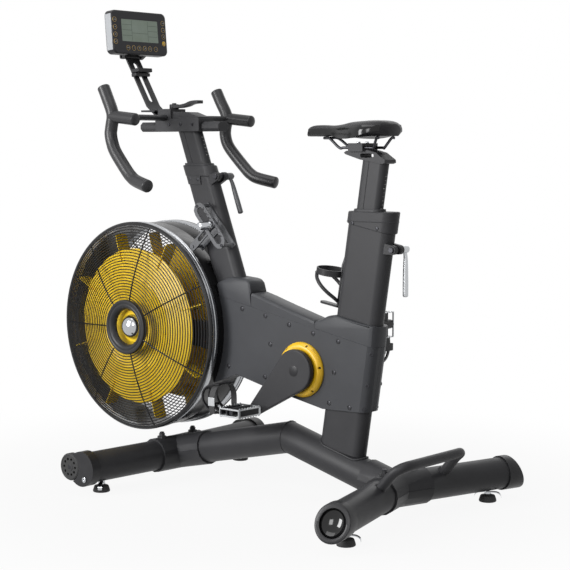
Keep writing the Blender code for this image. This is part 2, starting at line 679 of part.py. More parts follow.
# Crank spindle with its pulley, and the belt to the fan
rim_in = CRANK_PULLEY_RADIUS - 0.008
hub_out = SPINDLE_RADIUS + 0.006
web = (PULLEY_LOW + PULLEY_HIGH) / 2.0
SPINDLE_END = CRANK_FACE - 0.012
TAPER = SPINDLE_END - 0.020
SPINDLE_TIP = 0.009
spindle_profile = [(0.0, -SPINDLE_END), (SPINDLE_TIP, -SPINDLE_END), (SPINDLE_TIP, -TAPER), (SPINDLE_RADIUS, -TAPER + 0.002),
                   (SPINDLE_RADIUS, PULLEY_LOW), (hub_out, PULLEY_LOW), (hub_out, web - 0.003), (rim_in, web - 0.003),
                   (rim_in, PULLEY_LOW), (CRANK_PULLEY_RADIUS, PULLEY_LOW), (CRANK_PULLEY_RADIUS, PULLEY_HIGH),
                   (rim_in, PULLEY_HIGH), (rim_in, web + 0.003), (hub_out, web + 0.003), (hub_out, PULLEY_HIGH),
                   (SPINDLE_RADIUS, PULLEY_HIGH), (SPINDLE_RADIUS, TAPER - 0.002), (SPINDLE_TIP, TAPER),
                   (SPINDLE_TIP, SPINDLE_END), (0.0, SPINDLE_END)]
crank_spindle = piece("crank_spindle", across(turned(spindle_profile, 18), CRANK_X, CRANK_HEIGHT), "grey_steel",
                      (CRANK_X, 0.0, CRANK_HEIGHT))
for i in range(4):
    angle = 2.0 * math.pi * (i + 0.5) / 4.0
    spot = Vector((CRANK_X + 0.027 * math.cos(angle), 0.0, CRANK_HEIGHT + 0.027 * math.sin(angle)))
    minus(crank_spindle, pipe((spot + Vector((0.0, PULLEY_LOW, 0.0)), spot + Vector((0.0, PULLEY_HIGH, 0.0))), 0.0055, 8))


def belt_loop(extra):
    """The belt's outline round both pulleys, offset outwards by extra."""
    big, small = CRANK_PULLEY_RADIUS + extra, FAN_PULLEY_RADIUS + extra
    rise = FAN_HEIGHT - CRANK_HEIGHT
    run = FAN_X - CRANK_X
    outline = teardrop(big, small, math.hypot(run, rise), math.atan2(rise, run), 8)
    return [(x + CRANK_X, z + CRANK_HEIGHT) for x, z in outline]


belt_bm = tube_prism(belt_loop(GAP + BELT_THICKNESS), belt_loop(2.0 * GAP), -BELT_HIGH, -BELT_LOW)
piece("drive_belt", moved(belt_bm, Matrix.Rotation(math.pi / 2.0, 4, "X")), "rubber")

# Cranks: tapered arms with a round boss, a hub on the spindle and a pin for the pedal
PEDAL_CENTRE = CRANK_FACE + 0.0555
PEDAL_PIN = 0.007
PEDAL_TURN = {"left": 0.0, "right": math.radians(-90.0)}
PEDAL_HALF = 0.042
RING_FACE = COVER_HALF + GAP + 0.0145
for name, side in SIDES:
    angle = CRANK_ANGLE if side < 0.0 else CRANK_ANGLE - math.pi
    tip_x = CRANK_X + CRANK_LENGTH * math.cos(angle)
    tip_z = CRANK_HEIGHT + CRANK_LENGTH * math.sin(angle)
    arm_bm = side_prism(teardrop(CRANK_BOSS, 0.0185, CRANK_LENGTH, angle, 7), -CRANK_FACE, -CRANK_FACE + CRANK_PLATE)
    outer = -CRANK_FACE
    soften(arm_bm, 0.0045, 1, lambda edge: all(abs(v.co.y - outer) < 1e-6 for v in edge.verts))
    moved(arm_bm, Matrix.Translation((CRANK_X, 0.0, CRANK_HEIGHT)))
    crank = piece(name + "_crank", mirrored(arm_bm, side), "frame_paint", (CRANK_X, 0.0, CRANK_HEIGHT))
    hub = turned([(0.0, TAPER - 0.004), (0.019, TAPER - 0.004), (0.019, CRANK_FACE - 0.0095), (0.0, CRANK_FACE - 0.0095)], 16)
    plus(crank, mirrored(across(hub, CRANK_X, CRANK_HEIGHT), -side))
    socket = turned([(0.0, TAPER - 0.012), (SPINDLE_RADIUS + GAP, TAPER - 0.012), (SPINDLE_RADIUS + GAP, TAPER - 0.0015),
                     (SPINDLE_TIP + GAP, TAPER + 0.0005), (SPINDLE_TIP + GAP, SPINDLE_END + GAP), (0.0, SPINDLE_END + GAP)], 14)
    minus(crank, mirrored(across(socket, CRANK_X, CRANK_HEIGHT), -side))
    pin_low = Vector((tip_x, side * (CRANK_FACE - 0.012), tip_z))
    pin_high = Vector((tip_x, side * (PEDAL_CENTRE + PEDAL_HALF - 0.006), tip_z))
    plus(crank, pipe((pin_low, pin_high), PEDAL_PIN, 10))

    # Pedal: a metal frame round a barrel that turns on the pin
    pivot = Vector((tip_x, side * PEDAL_CENTRE, tip_z))
    level = Matrix.Translation(pivot) @ Matrix.Rotation(PEDAL_TURN[name], 4, "Y")
    frame = tube_prism([(-0.033, -PEDAL_HALF), (0.033, -PEDAL_HALF), (0.033, PEDAL_HALF), (-0.033, PEDAL_HALF)],
                       [(-0.028, -PEDAL_HALF + 0.005), (0.028, -PEDAL_HALF + 0.005), (0.028, PEDAL_HALF - 0.005),
                        (-0.028, PEDAL_HALF - 0.005)], -0.012, 0.012)
    pedal = piece(name + "_pedal", moved(frame, level), "grey_steel", pivot)
    reach = Vector((0.0, PEDAL_HALF - 0.001, 0.0))
    plus(pedal, pipe((pivot - reach, pivot + reach), 0.0115, 12))
    web_bm = box(-0.030, 0.030, -0.010, 0.010, -0.004, 0.004)
    plus(pedal, moved(web_bm, level))
    minus(pedal, pipe((pivot - Vector((0.0, 0.06, 0.0)), pivot + Vector((0.0, 0.06, 0.0))), PEDAL_PIN + RUN, 12))

    # Toe cage: a bent plastic strip ahead of the pedal with a closed strap hoop
    cage_path = [(-0.033 - GAP, -0.006), (-0.060, -0.007), (-0.086, 0.001), (-0.103, 0.019), (-0.104, 0.040),
                 (-0.090, 0.057), (-0.066, 0.066), (-0.046, 0.067)]
    cage_bm = side_prism(ribbon(cage_path, 0.004), -0.030, 0.030)
    cage = piece(name + "_toe_cage", moved(cage_bm, level), "black_plastic", pivot)
    hoop_outer = [(-0.040, -0.0085), (0.040, -0.0085), (0.043, 0.010), (0.041, 0.040), (0.028, 0.060), (0.0, 0.0685),
                  (-0.028, 0.060), (-0.041, 0.040), (-0.043, 0.010)]
    hoop_bm = tube_prism(hoop_outer, inset(hoop_outer, 0.0028), -0.068, -0.050)
    spin = Matrix(((0.0, 0.0, 1.0), (1.0, 0.0, 0.0), (0.0, 1.0, 0.0))).to_4x4()
    plus(cage, moved(hoop_bm, level @ spin))

    # Yellow ring on the cover round the crank
    ring_loop = [(0.046, COVER_HALF + GAP), (0.070, COVER_HALF + GAP), (0.0705, COVER_HALF + 0.005),
                 (0.063, RING_FACE), (0.052, RING_FACE), (0.046, RING_FACE - 0.004)]
    ring_bm = across(turned(ring_loop, 22, loop=True), CRANK_X, CRANK_HEIGHT)
    piece(name + "_crank_ring", mirrored(ring_bm, -side), "yellow_paint")

# Covers: two plastic shells round the beam and the seat tube
ARC_RADIUS = SHROUD_RADIUS + GAP


def cover_top(x):
    share = (x - FAN_X - 0.2635) / (COVER_REAR_X - FAN_X - 0.2635)
    return COVER_TOP_FRONT + (COVER_TOP_REAR - COVER_TOP_FRONT) * share


def on_case(height, radius):
    """The angle in degrees at which the case's circle reaches this height, behind the fan."""
    return math.degrees(math.asin((height - FAN_HEIGHT) / radius))


cover_low_front = 0.279
front_arc = arc(FAN_CENTRE, ARC_RADIUS, on_case(COVER_TOP_FRONT, ARC_RADIUS), on_case(cover_low_front, ARC_RADIUS), 9)
cover_outline = front_arc + [(-0.246, 0.309), (-0.145, 0.2855), (0.044, 0.2495), (COVER_REAR_X - 0.0245, 0.2535),
                             (COVER_REAR_X, COVER_TOP_REAR)]
cover_inner = inset(cover_outline, COVER_WALL)
for name, side in SIDES:
    shell_bm = side_prism(cover_outline, -COVER_HALF, -GAP / 2.0)
    face_y = -COVER_HALF

    def rear_edge(edge):
        return all(v.co.x > COVER_REAR_X - 0.03 and v.co.y < face_y + 1e-6 for v in edge.verts)

    soften(shell_bm, 0.020, 3, rear_edge)
    cover = piece(name + "_cover", mirrored(shell_bm, side), "cover_plastic")
    hollow = side_prism(cover_inner, -COVER_HALF + COVER_WALL, 0.05)

    def inner_rear(edge):
        return all(v.co.x > COVER_REAR_X - 0.034 and v.co.y < face_y + COVER_WALL + 1e-6 for v in edge.verts)

    soften(hollow, 0.0185, 3, inner_rear)
    minus(cover, mirrored(hollow, side))
    minus(cover, seat_envelope(RUN, 0.0, 0.45))
    minus(cover, head_envelope(RUN, 0.0, 0.2))
    case_cut = [(0.0, -0.05), (SHROUD_RADIUS + 1.2 * GAP, -0.05), (SHROUD_RADIUS + 1.2 * GAP, 0.05), (0.0, 0.05)]
    minus(cover, across(turned(case_cut, SHROUD_SIDES), FAN_X, FAN_HEIGHT))
    minus(cover, box(FAN_X + 0.20, FAN_X + 0.33, -0.028, 0.022, SLOT_LOW, SLOT_HIGH))
    minus(cover, pipe(((CRANK_X, side * 0.022, CRANK_HEIGHT), (CRANK_X, side * 0.05, CRANK_HEIGHT)), 0.038, 20))

HEAD_JOINT_REAR = -0.195
SEAT_JOINT_FRONT = 0.018


def on_top(x):
    return (x, cover_top(x) + GAP)


TOP_ROUND = 0.008


def upper_edge(half):
    """Chooses the edges along the top of a cap whose sides stand at half."""
    def chosen(edge):
        return all(abs(abs(v.co.y) - half) < 1e-6 and v.co.z > cover_top(v.co.x) + 0.004 for v in edge.verts)
    return chosen


joint_front = FAN_X + ARC_RADIUS * math.cos(math.radians(on_case(COVER_TOP_FRONT, ARC_RADIUS))) + 0.001
head_joint_outline = [on_top(joint_front), on_top(HEAD_JOINT_REAR), (HEAD_JOINT_REAR, 0.5285), (-0.1985, 0.551),
                      (-0.212, 0.5605), (-0.267, 0.565), (-0.3165, 0.548)]
strip_outline = [on_top(HEAD_JOINT_REAR + GAP), on_top(SEAT_JOINT_FRONT - GAP), (SEAT_JOINT_FRONT - GAP, 0.4695),
                 (-0.100, 0.5020), (-0.156, 0.5185), (HEAD_JOINT_REAR + GAP, 0.5285)]
seat_joint_outline = [on_top(SEAT_JOINT_FRONT), on_top(COVER_REAR_X), (COVER_REAR_X + 0.005, 0.4660), (0.085, 0.4890),
                      (0.057, 0.4845), (0.037, 0.4740), (SEAT_JOINT_FRONT, 0.4695)]
for name, outline in (("head_joint_cover", head_joint_outline), ("top_cover", strip_outline),
                      ("seat_joint_cover", seat_joint_outline)):
    cap_bm = side_prism(outline, -COVER_HALF, COVER_HALF)
    if name == "seat_joint_cover":
        soften(cap_bm, 0.020, 3, lambda edge: all(
            v.co.x > COVER_REAR_X - 0.001 for v in edge.verts) and abs(edge.verts[0].co.y - edge.verts[1].co.y) < 1e-6)
    soften(cap_bm, TOP_ROUND, 2, upper_edge(COVER_HALF))
    top_piece = piece(name, cap_bm, "cover_plastic")
    inner = inset(outline, COVER_WALL)
    first, second = Vector(inner[0]), Vector(inner[1])
    inner[0] = (first.x, first.y - 0.02)
    inner[1] = (second.x, second.y - 0.02)
    hollow = side_prism(inner, -COVER_HALF + COVER_WALL, COVER_HALF - COVER_WALL)
    if name == "seat_joint_cover":
        soften(hollow, 0.0185, 3, lambda edge: all(
            v.co.x > COVER_REAR_X - 0.006 for v in edge.verts) and abs(edge.verts[0].co.y - edge.verts[1].co.y) < 1e-6)
    soften(hollow, TOP_ROUND - 0.001, 2, upper_edge(COVER_HALF - COVER_WALL))
    minus(top_piece, hollow)
    if name == "head_joint_cover":
        minus(top_piece, head_envelope(RUN, -0.02, 0.25))
    if name == "seat_joint_cover":
        minus(top_piece, seat_envelope(RUN, 0.1, 0.45))

# Collars with a pair of clamp ears, and their lock levers
EAR_GAP = 0.007
EAR_WIDTH = 0.009
LEVER_RADIUS = 0.009


def collar(name, frame, depth, width, low, top, tube_top, shift, wall):
    """A moulded collar on a column's top, with a hole for the post."""
    body = piece(name, moved(prism(stadium(depth + 2.0 * wall, width + 2.0 * wall), low, top), frame), "black_plastic")
    minus(body, moved(prism(stadium(depth + 2.0 * GAP, width + 2.0 * GAP), low - 0.01, tube_top + GAP), frame))
    minus(body, moved(prism(stadium(POST_DEPTH + 2.0 * RUN, POST_WIDTH + 2.0 * RUN, shift=shift), low, top + 0.01), frame))


def clamp_ears(tube, frame, depth, height):
    """Two lugs welded to a column's rear with a cross pin for the lock lever; returns the pin's middle."""
    ear_x = depth / 2.0
    for sign in (-1.0, 1.0):
        y_low, y_high = sorted((sign * EAR_GAP, sign * (EAR_GAP + EAR_WIDTH)))
        plus(tube, moved(box(ear_x - 0.010, ear_x + 0.024, y_low, y_high, height - 0.013, height + 0.013), frame))
    pin = pipe(((ear_x + 0.013, -EAR_GAP - EAR_WIDTH - 0.006, height), (ear_x + 0.013, 0.050, height)), 0.005, 10)
    plus(tube, moved(pin, frame))
    return frame @ Vector((ear_x + 0.013, 0.0, height))


def lever(name, pivot, direction, length, finish):
    """A clamping lever: a hub on the cross pin and a handle that hangs beside the column."""
    start = EAR_GAP + EAR_WIDTH + GAP
    hub = pipe((pivot + Vector((0.0, start, 0.0)), pivot + Vector((0.0, 0.046, 0.0))), LEVER_RADIUS, 12)
    handle = piece(name, hub, finish, pivot)
    root = pivot + Vector((0.0, 0.040, 0.0))
    bend = root + direction * 0.020 + Vector((0.0, 0.004, 0.0))
    plus(handle, pipe((root, bend, root + direction * length + Vector((0.0, 0.006, 0.0))), 0.0062, 10))
    minus(handle, pipe((pivot, pivot + Vector((0.0, 0.06, 0.0))), 0.005 + RUN, 10))


collar("seat_tube_collar", SEAT, SEAT_TUBE_DEPTH, SEAT_TUBE_WIDTH, SEAT_TUBE_LENGTH - 0.022, SEAT_TUBE_LENGTH + 0.015,
       SEAT_TUBE_LENGTH, SEAT_POST_SHIFT, 0.0045)
seat_pin = clamp_ears(seat_tube, SEAT, SEAT_TUBE_DEPTH, SEAT_TUBE_LENGTH - 0.068)
lever("seat_lock_lever", seat_pin, Vector((0.05, 0.0, -1.0)).normalized(), 0.120, "bright_steel")
collar("head_tube_collar", HEAD, HEAD_TUBE_DEPTH, HEAD_TUBE_WIDTH, HEAD_TUBE_LENGTH - 0.034, HEAD_TUBE_LENGTH + 0.010,
       HEAD_TUBE_LENGTH, 0.0, 0.0035)
head_pin = clamp_ears(head_tube, HEAD, HEAD_TUBE_DEPTH, HEAD_TUBE_LENGTH - 0.052)
lever("head_lock_lever", head_pin, Vector((0.36, 0.0, -1.0)).normalized(), 0.105, "grey_steel")

# Seat post, seat head, rails and saddle
post_inner = (POST_DEPTH - 2.0 * POST_WALL, POST_WIDTH - 2.0 * POST_WALL)
seat_post_bm = tube_prism(stadium(POST_DEPTH, POST_WIDTH, shift=SEAT_POST_SHIFT),
                          stadium(*post_inner, shift=SEAT_POST_SHIFT), SEAT_TUBE_LENGTH - 0.220, SEAT_POST_TOP)
piece("seat_post", moved(seat_post_bm, SEAT), "frame_paint")

head_low = SEAT_POST_TOP + GAP
post_front = SEAT @ Vector((SEAT_POST_SHIFT - POST_DEPTH / 2.0, 0.0, head_low))
post_rear = SEAT @ Vector((SEAT_POST_SHIFT + POST_DEPTH / 2.0, 0.0, head_low))
clamp_x = post_front.x - 0.008
clamp_top = RAIL_HEIGHT + 0.011
head_top = RAIL_HEIGHT - RAIL_RADIUS - 0.0025
seat_head_outline = [(post_front.x, post_front.z), (post_rear.x, post_rear.z), (post_rear.x + 0.007, post_rear.z + 0.003),
                     (post_rear.x + 0.006, post_rear.z + 0.010), (post_rear.x - 0.020, post_rear.z + 0.027),
                     (post_front.x + 0.026, head_top), (post_front.x - 0.042, head_top - 0.0015),
                     (post_front.x - 0.049, head_top - 0.006), (post_front.x - 0.044, head_top - 0.010)]
seat_head = piece("seat_head", side_prism(seat_head_outline, -0.023, 0.023), "black_plastic")
plus(seat_head, box(clamp_x - 0.022, clamp_x + 0.022, -RAIL_SPREAD - 0.009, RAIL_SPREAD + 0.009,
                    head_top - 0.003, clamp_top))
window = [(x + post_front.x + 0.022, z + post_front.z + 0.0095) for x, z in stadium(0.042, 0.010, 4)]
minus(seat_head, side_prism(window, -0.05, 0.05))
for sign in (-1.0, 1.0):
    groove = ((clamp_x - 0.05, sign * RAIL_SPREAD, RAIL_HEIGHT), (clamp_x + 0.05, sign * RAIL_SPREAD, RAIL_HEIGHT))
    minus(seat_head, pipe(groove, RAIL_RADIUS + RUN, 12))

rail_top = SADDLE_UNDER - GAP - RAIL_RADIUS
half_rail = [(SADDLE_NOSE_X + 0.242, RAIL_SPREAD + 0.010, rail_top), (SADDLE_NOSE_X + 0.234, RAIL_SPREAD + 0.008, rail_top),
             (SADDLE_NOSE_X + 0.216, RAIL_SPREAD, RAIL_HEIGHT), (SADDLE_NOSE_X + 0.130, RAIL_SPREAD, RAIL_HEIGHT),
             (SADDLE_NOSE_X + 0.094, RAIL_SPREAD - 0.004, rail_top), (SADDLE_NOSE_X + 0.070, RAIL_SPREAD - 0.010, rail_top)]
rail_path = [(x, -y, z) for x, y, z in half_rail] + half_rail[::-1]
piece("saddle_rails", pipe(rail_path, RAIL_RADIUS, 8), "bright_steel")


def saddle_ring(share):
    """One section of the saddle: share runs from the nose to the tail."""
    stations = ((0.0, 0.010, 0.0060), (0.035, 0.0185, 0.0150), (0.15, 0.0235, 0.0215), (0.30, 0.0290, 0.0235),
                (0.45, 0.0385, 0.0245), (0.58, 0.0520, 0.0270), (0.70, 0.0650, 0.0320), (0.81, 0.0715, 0.0370),
                (0.90, 0.0630, 0.0390), (0.96, 0.0460, 0.0350), (1.0, 0.0240, 0.0260))
    for low, high in zip(stations, stations[1:]):
        if low[0] <= share <= high[0]:
            part = (share - low[0]) / (high[0] - low[0])
            break
    half = low[1] + (high[1] - low[1]) * part
    rise = low[2] + (high[2] - low[2]) * part
    x = SADDLE_NOSE_X + SADDLE_LENGTH * share
    points = []
    for i in range(9):
        angle = math.pi * i / 8.0
        y = half * math.copysign(abs(math.cos(angle)) ** 0.75, math.cos(angle))
        points.append((x, y, SADDLE_UNDER + 0.004 + rise * math.sin(angle) ** 0.7))
    points += [(x, -half * 0.86, SADDLE_UNDER), (x, 0.0, SADDLE_UNDER), (x, half * 0.86, SADDLE_UNDER)]
    return points


saddle_bm = bmesh.new()
shares = (0.0, 0.035, 0.09, 0.15, 0.30, 0.45, 0.58, 0.70, 0.81, 0.90, 0.96, 1.0)
saddle_rings = [[saddle_bm.verts.new(point) for point in saddle_ring(share)] for share in shares]
skin(saddle_bm, saddle_rings)
saddle_bm.faces.new(saddle_rings[0])
saddle_bm.faces.new(saddle_rings[-1])
piece("saddle", closed(saddle_bm), "vinyl")

# Bottle cage on the seat tube's front: a back strip, a hoop, two side arms and a foot
CAGE_LOW = 0.340
CAGE_HIGH = 0.465
cage_back = -SEAT_TUBE_DEPTH / 2.0 - GAP
cage_centre = cage_back - 0.0405
bottle_cage = piece("bottle_cage", moved(box(cage_back - 0.004, cage_back, -0.010, 0.010, CAGE_LOW, CAGE_HIGH), SEAT),
                    "black_plastic")
hoop = turned([(0.0365, CAGE_HIGH - 0.040), (0.0400, CAGE_HIGH - 0.040), (0.0400, CAGE_HIGH - 0.024),
               (0.0365, CAGE_HIGH - 0.024)], 20, loop=True)
plus(bottle_cage, moved(hoop, SEAT @ Matrix.Translation((cage_centre, 0.0, 0.0))))
plus(bottle_cage, moved(box(cage_centre - 0.020, cage_back - 0.001, -0.0085, 0.0085, CAGE_LOW + 0.0015, CAGE_LOW + 0.0055), SEAT))
plus(bottle_cage, moved(box(cage_centre - 0.023, cage_centre - 0.019, -0.0095, 0.0095, CAGE_LOW + 0.0005, CAGE_LOW + 0.013), SEAT))
for sign in (-1.0, 1.0):
    strut = ((cage_back - 0.002, sign * 0.006, CAGE_LOW + 0.012), (cage_centre + 0.014, sign * 0.0362, CAGE_LOW + 0.050),
             (cage_centre, sign * 0.0382, CAGE_HIGH - 0.032))
    plus(bottle_cage, moved(pipe(strut, 0.0034, 8), SEAT))

# Handlebar post with the fore-aft rail on top
post_top = (SLIDE_HEIGHT - HEAD_FOOT_HEIGHT) / math.cos(HEAD_LEAN)
bar_post_bm = tube_prism(stadium(POST_DEPTH, POST_WIDTH), stadium(*post_inner), HEAD_TUBE_LENGTH - 0.200, post_top)
handlebar_post = piece("handlebar_post", moved(bar_post_bm, HEAD), "frame_paint")


def slide_outline(extra):
    """The eight-sided section of the rail, in y and z about its own middle."""
    half, rise, cut = SLIDE_WIDTH / 2.0 + extra, SLIDE_DEPTH / 2.0 + extra, 0.008
    return [(-half + cut, -rise), (half - cut, -rise), (half, -rise + cut), (half, rise - cut), (half - cut, rise),
            (-half + cut, rise), (-half, rise - cut), (-half, -rise + cut)]


LENGTHWISE = Matrix(((0.0, 0.0, 1.0), (1.0, 0.0, 0.0), (0.0, 1.0, 0.0))).to_4x4()


def along_rail(outline, x_low, x_high):
    return moved(prism(outline, x_low, x_high), Matrix.Translation((0.0, 0.0, SLIDE_HEIGHT)) @ LENGTHWISE)


plus(handlebar_post, along_rail(slide_outline(0.0), SLIDE_FRONT_X, SLIDE_REAR_X))

# Carriage: clasps the rail from above and holds the handlebar
BAR_FLAT = 0.62


def crossbar(extra, half):
    """The flattened tube that joins the two grips."""
    bar = pipe(((0.0, -half, 0.0), (0.0, half, 0.0)), BAR_RADIUS, 14)
    size = Matrix.Diagonal((1.0 + extra / BAR_RADIUS, 1.0, BAR_FLAT + extra / BAR_RADIUS, 1.0))
    return moved(bar, Matrix.Translation((BAR_X, 0.0, BAR_HEIGHT - 0.003)) @ size)


CARRIAGE_FRONT = BAR_X - 0.034
CARRIAGE_REAR = BAR_X + 0.128
carriage_top = SLIDE_HEIGHT + SLIDE_DEPTH / 2.0 + 0.009
clasp = [(-0.029, -0.0125), (-0.0175, -0.0125), (0.0175, -0.0125), (0.029, -0.0125), (0.029, 0.022), (-0.029, 0.022)]
slider_carriage = piece("slider_carriage", along_rail(clasp, CARRIAGE_FRONT, CARRIAGE_REAR), "frame_paint")
plus(slider_carriage, box(BAR_X - 0.024, BAR_X + 0.024, -0.029, 0.029, SLIDE_HEIGHT + 0.015, BAR_HEIGHT + 0.021))
minus(slider_carriage, along_rail(slide_outline(RUN), SLIDE_FRONT_X - 0.1, SLIDE_REAR_X + 0.1))
minus(slider_carriage, box(CARRIAGE_FRONT - 0.01, CARRIAGE_REAR + 0.01, -0.0175, 0.0175, SLIDE_HEIGHT - 0.03, SLIDE_HEIGHT))
minus(slider_carriage, crossbar(GAP, 0.1))
hump = [(BAR_X + 0.018, SLIDE_HEIGHT + 0.017), (BAR_X + 0.119, SLIDE_HEIGHT + 0.017), (BAR_X + 0.119, SLIDE_HEIGHT + 0.026),
        (BAR_X + 0.078, BAR_HEIGHT + 0.012), (BAR_X + 0.018, BAR_HEIGHT + 0.014)]
plus(slider_carriage, side_prism(hump, -0.022, 0.022))
lock_x = BAR_X + 0.010
lock_base = BAR_HEIGHT + 0.021
plus(slider_carriage, pipe(((lock_x, 0.0, lock_base - 0.003), (lock_x, 0.0, lock_base + 0.016)), 0.006, 10))

# Slide lock: a lever on an upright stud
lock_origin = Vector((lock_x, 0.0, lock_base + GAP))
lock_hub = turned([(0.006 + RUN, 0.0), (0.0125, 0.0), (0.0125, 0.0125), (0.006 + RUN, 0.0125)], 14, loop=True)
slider_lock = piece("slider_lock_lever", moved(lock_hub, Matrix.Translation(lock_origin)), "black_plastic", lock_origin)
lock_arm = [(0.008, 0.0025), (0.052, 0.0025), (0.094, 0.0165), (0.094, 0.0225), (0.058, 0.0225), (0.046, 0.0095), (0.008, 0.0095)]
plus(slider_lock, moved(side_prism(lock_arm, -0.009, 0.009), Matrix.Translation(lock_origin)))

# Handlebar: a crossbar, and on each side a horn, a rearward stub and a drop, in foam-covered tube
handlebar = piece("handlebar", crossbar(0.0, BAR_HALF), "foam")
for name, side in SIDES:
    grip = [(-0.036, -0.004, 0.076), (-0.022, -0.003, 0.050), (-0.008, -0.001, 0.022), (-0.002, 0.0, 0.0),
            (-0.002, 0.003, -0.030), (0.000, 0.008, -0.060), (0.014, 0.013, -0.095), (0.038, 0.018, -0.126),
            (0.076, 0.023, -0.149), (0.116, 0.027, -0.166), (0.162, 0.029, -0.181)]
    path = [(BAR_X + x, side * (BAR_HALF + y), BAR_HEIGHT + z) for x, y, z in grip]
    plus(handlebar, pipe(path, GRIP_RADIUS, 10))
    stub = ((BAR_X - 0.004, side * BAR_HALF, BAR_HEIGHT - 0.001), (BAR_X + 0.094, side * (BAR_HALF + 0.003), BAR_HEIGHT - 0.011))
    plus(handlebar, pipe(stub, GRIP_RADIUS - 0.0004, 10))

# Console arm: a bent slotted strip from the carriage, with a phone clip and a hinge barrel
arm_foot = (CARRIAGE_FRONT - GAP - 0.0025, SLIDE_HEIGHT - 0.008)
arm_path = [arm_foot, (arm_foot[0], SLIDE_HEIGHT + 0.030), (arm_foot[0] - 0.034, BAR_HEIGHT + 0.030),
            (CONSOLE_PIVOT_X, CONSOLE_PIVOT_HEIGHT)]
console_arm = piece("console_arm", side_prism(ribbon(arm_path, 0.005), -0.029, 0.029), "black_plastic")
slot_low, slot_high = Vector(arm_path[2]), Vector(arm_path[3])
slot_run = (slot_high - slot_low)
slot_path = [tuple(slot_low + slot_run * 0.08), tuple(slot_low + slot_run * 0.86)]
minus(console_arm, side_prism(ribbon(slot_path, 0.02), -0.008, 0.008))
minus(console_arm, box(arm_foot[0] - 0.01, arm_foot[0] + 0.01, -SLIDE_WIDTH / 2.0 - 0.001, SLIDE_WIDTH / 2.0 + 0.001,
                       SLIDE_HEIGHT - 0.02, SLIDE_HEIGHT + SLIDE_DEPTH / 2.0 + 0.001))
flange_z = SLIDE_HEIGHT + 0.040
plus(console_arm, box(arm_foot[0] - 0.050, arm_foot[0] + 0.001, -0.031, 0.031, flange_z, flange_z + 0.006))
barrel = Vector((CONSOLE_PIVOT_X, 0.0, CONSOLE_PIVOT_HEIGHT))
plus(console_arm, pipe((barrel - Vector((0.0, 0.0285, 0.0)), barrel + Vector((0.0, 0.0285, 0.0))), 0.007, 12))
plus(console_arm, pipe((barrel - Vector((0.0, 0.040, 0.0)), barrel + Vector((0.0, 0.040, 0.0))), 0.003, 8))
clip_mid = slot_low + slot_run * 0.72
plus(console_arm, box(clip_mid.x, clip_mid.x + 0.012, -0.038, 0.038, clip_mid.y - 0.014, clip_mid.y + 0.014))
plus(console_arm, box(clip_mid.x + 0.010, clip_mid.x + 0.024, -0.038, 0.038, clip_mid.y - 0.014, clip_mid.y - 0.009))

# Console case: faces the rider, hinged on the arm by two lugs
corner = 0.016
half_width = CONSOLE_WIDTH / 2.0
case_low = 0.009
CASE_BACK = 0.002
case_outline = arc((-half_width + corner, case_low + corner), corner, 180.0, 270.0, 4)
case_outline += arc((half_width - corner, case_low + corner), corner, 270.0, 360.0, 4)
case_outline += arc((half_width - corner, case_low + CONSOLE_HEIGHT - corner), corner, 0.0, 90.0, 4)
case_outline += arc((-half_width + corner, case_low + CONSOLE_HEIGHT - corner), corner, 90.0, 180.0, 4)
tilt = Matrix.Translation(barrel) @ Matrix.Rotation(CONSOLE_TILT, 4, "Y")
case_bm = prism(case_outline, CASE_BACK, CASE_BACK + CONSOLE_THICKNESS)
soften(case_bm, 0.003, 1, lambda edge: abs(edge.verts[0].co.z - edge.verts[1].co.z) < 1e-6)
console_case = piece("console_case", moved(case_bm, tilt @ LENGTHWISE), "silver_plastic", barrel)
case_face = CASE_BACK + CONSOLE_THICKNESS
screen = box(case_face - 0.0015, case_face + 0.01, -0.070, 0.070, case_low + 0.036, case_low + 0.096)
minus(console_case, moved(screen, tilt))
for sign in (-1.0, 1.0):
    low, high = sorted((sign * (0.0285 + RUN), sign * 0.040))
    plus(console_case, moved(box(-0.008, 0.010, low, high, -0.008, case_low + 0.006), tilt))
minus(console_case, pipe((barrel - Vector((0.0, 0.06, 0.0)), barrel + Vector((0.0, 0.06, 0.0))), 0.003 + RUN, 8))

# Resistance: a slotted plate on the head tube, a slotted arm on a pin and a knob that slides in both
plate_along = Vector((math.cos(PLATE_ANGLE), 0.0, math.sin(PLATE_ANGLE)))
plate_down = Vector((plate_along.z, 0.0, -plate_along.x))
plate_mid = Vector((PLATE_X, 0.0, PLATE_HEIGHT))
arm_pivot = plate_mid + plate_down * ARM_REACH
plate_turn = Matrix.Translation(plate_mid) @ Matrix.Rotation(-PLATE_ANGLE, 4, "Y")
back_y = HEAD_TUBE_WIDTH / 2.0 + GAP


def flat(outline, low, high):
    """An outline in the plate's own length and width, raised from low to high towards the left."""
    return moved(side_prism(outline, -high, -low), plate_turn)


plate_outer = stadium(PLATE_LENGTH, PLATE_WIDTH)
plate_slot = stadium(PLATE_LENGTH - 0.024, PLATE_WIDTH - 0.020)
ring_bm = moved(tube_prism(plate_outer, plate_slot, PLATE_FACE - 0.004, PLATE_FACE), Matrix.Rotation(math.pi / 2.0, 4, "X"))
notch_plate = piece("notch_plate", moved(ring_bm, plate_turn), "grey_steel")
for i in range(7):
    u = -0.045 + 0.015 * i
    minus(notch_plate, flat([(u - 0.003, 0.009), (u + 0.003, 0.009), (u + 0.003, 0.0145), (u - 0.003, 0.0145)],
                            PLATE_FACE - 0.01, PLATE_FACE + 0.01))
back_outline = [(-0.072, 0.006), (-0.072, -0.008), (-0.020, -0.012), (-0.010, -ARM_REACH - 0.008),
                (0.009, -ARM_REACH - 0.008), (0.010, -0.012), (0.072, -0.007), (0.072, 0.007)]
plus(notch_plate, flat(back_outline, back_y, back_y + 0.004))
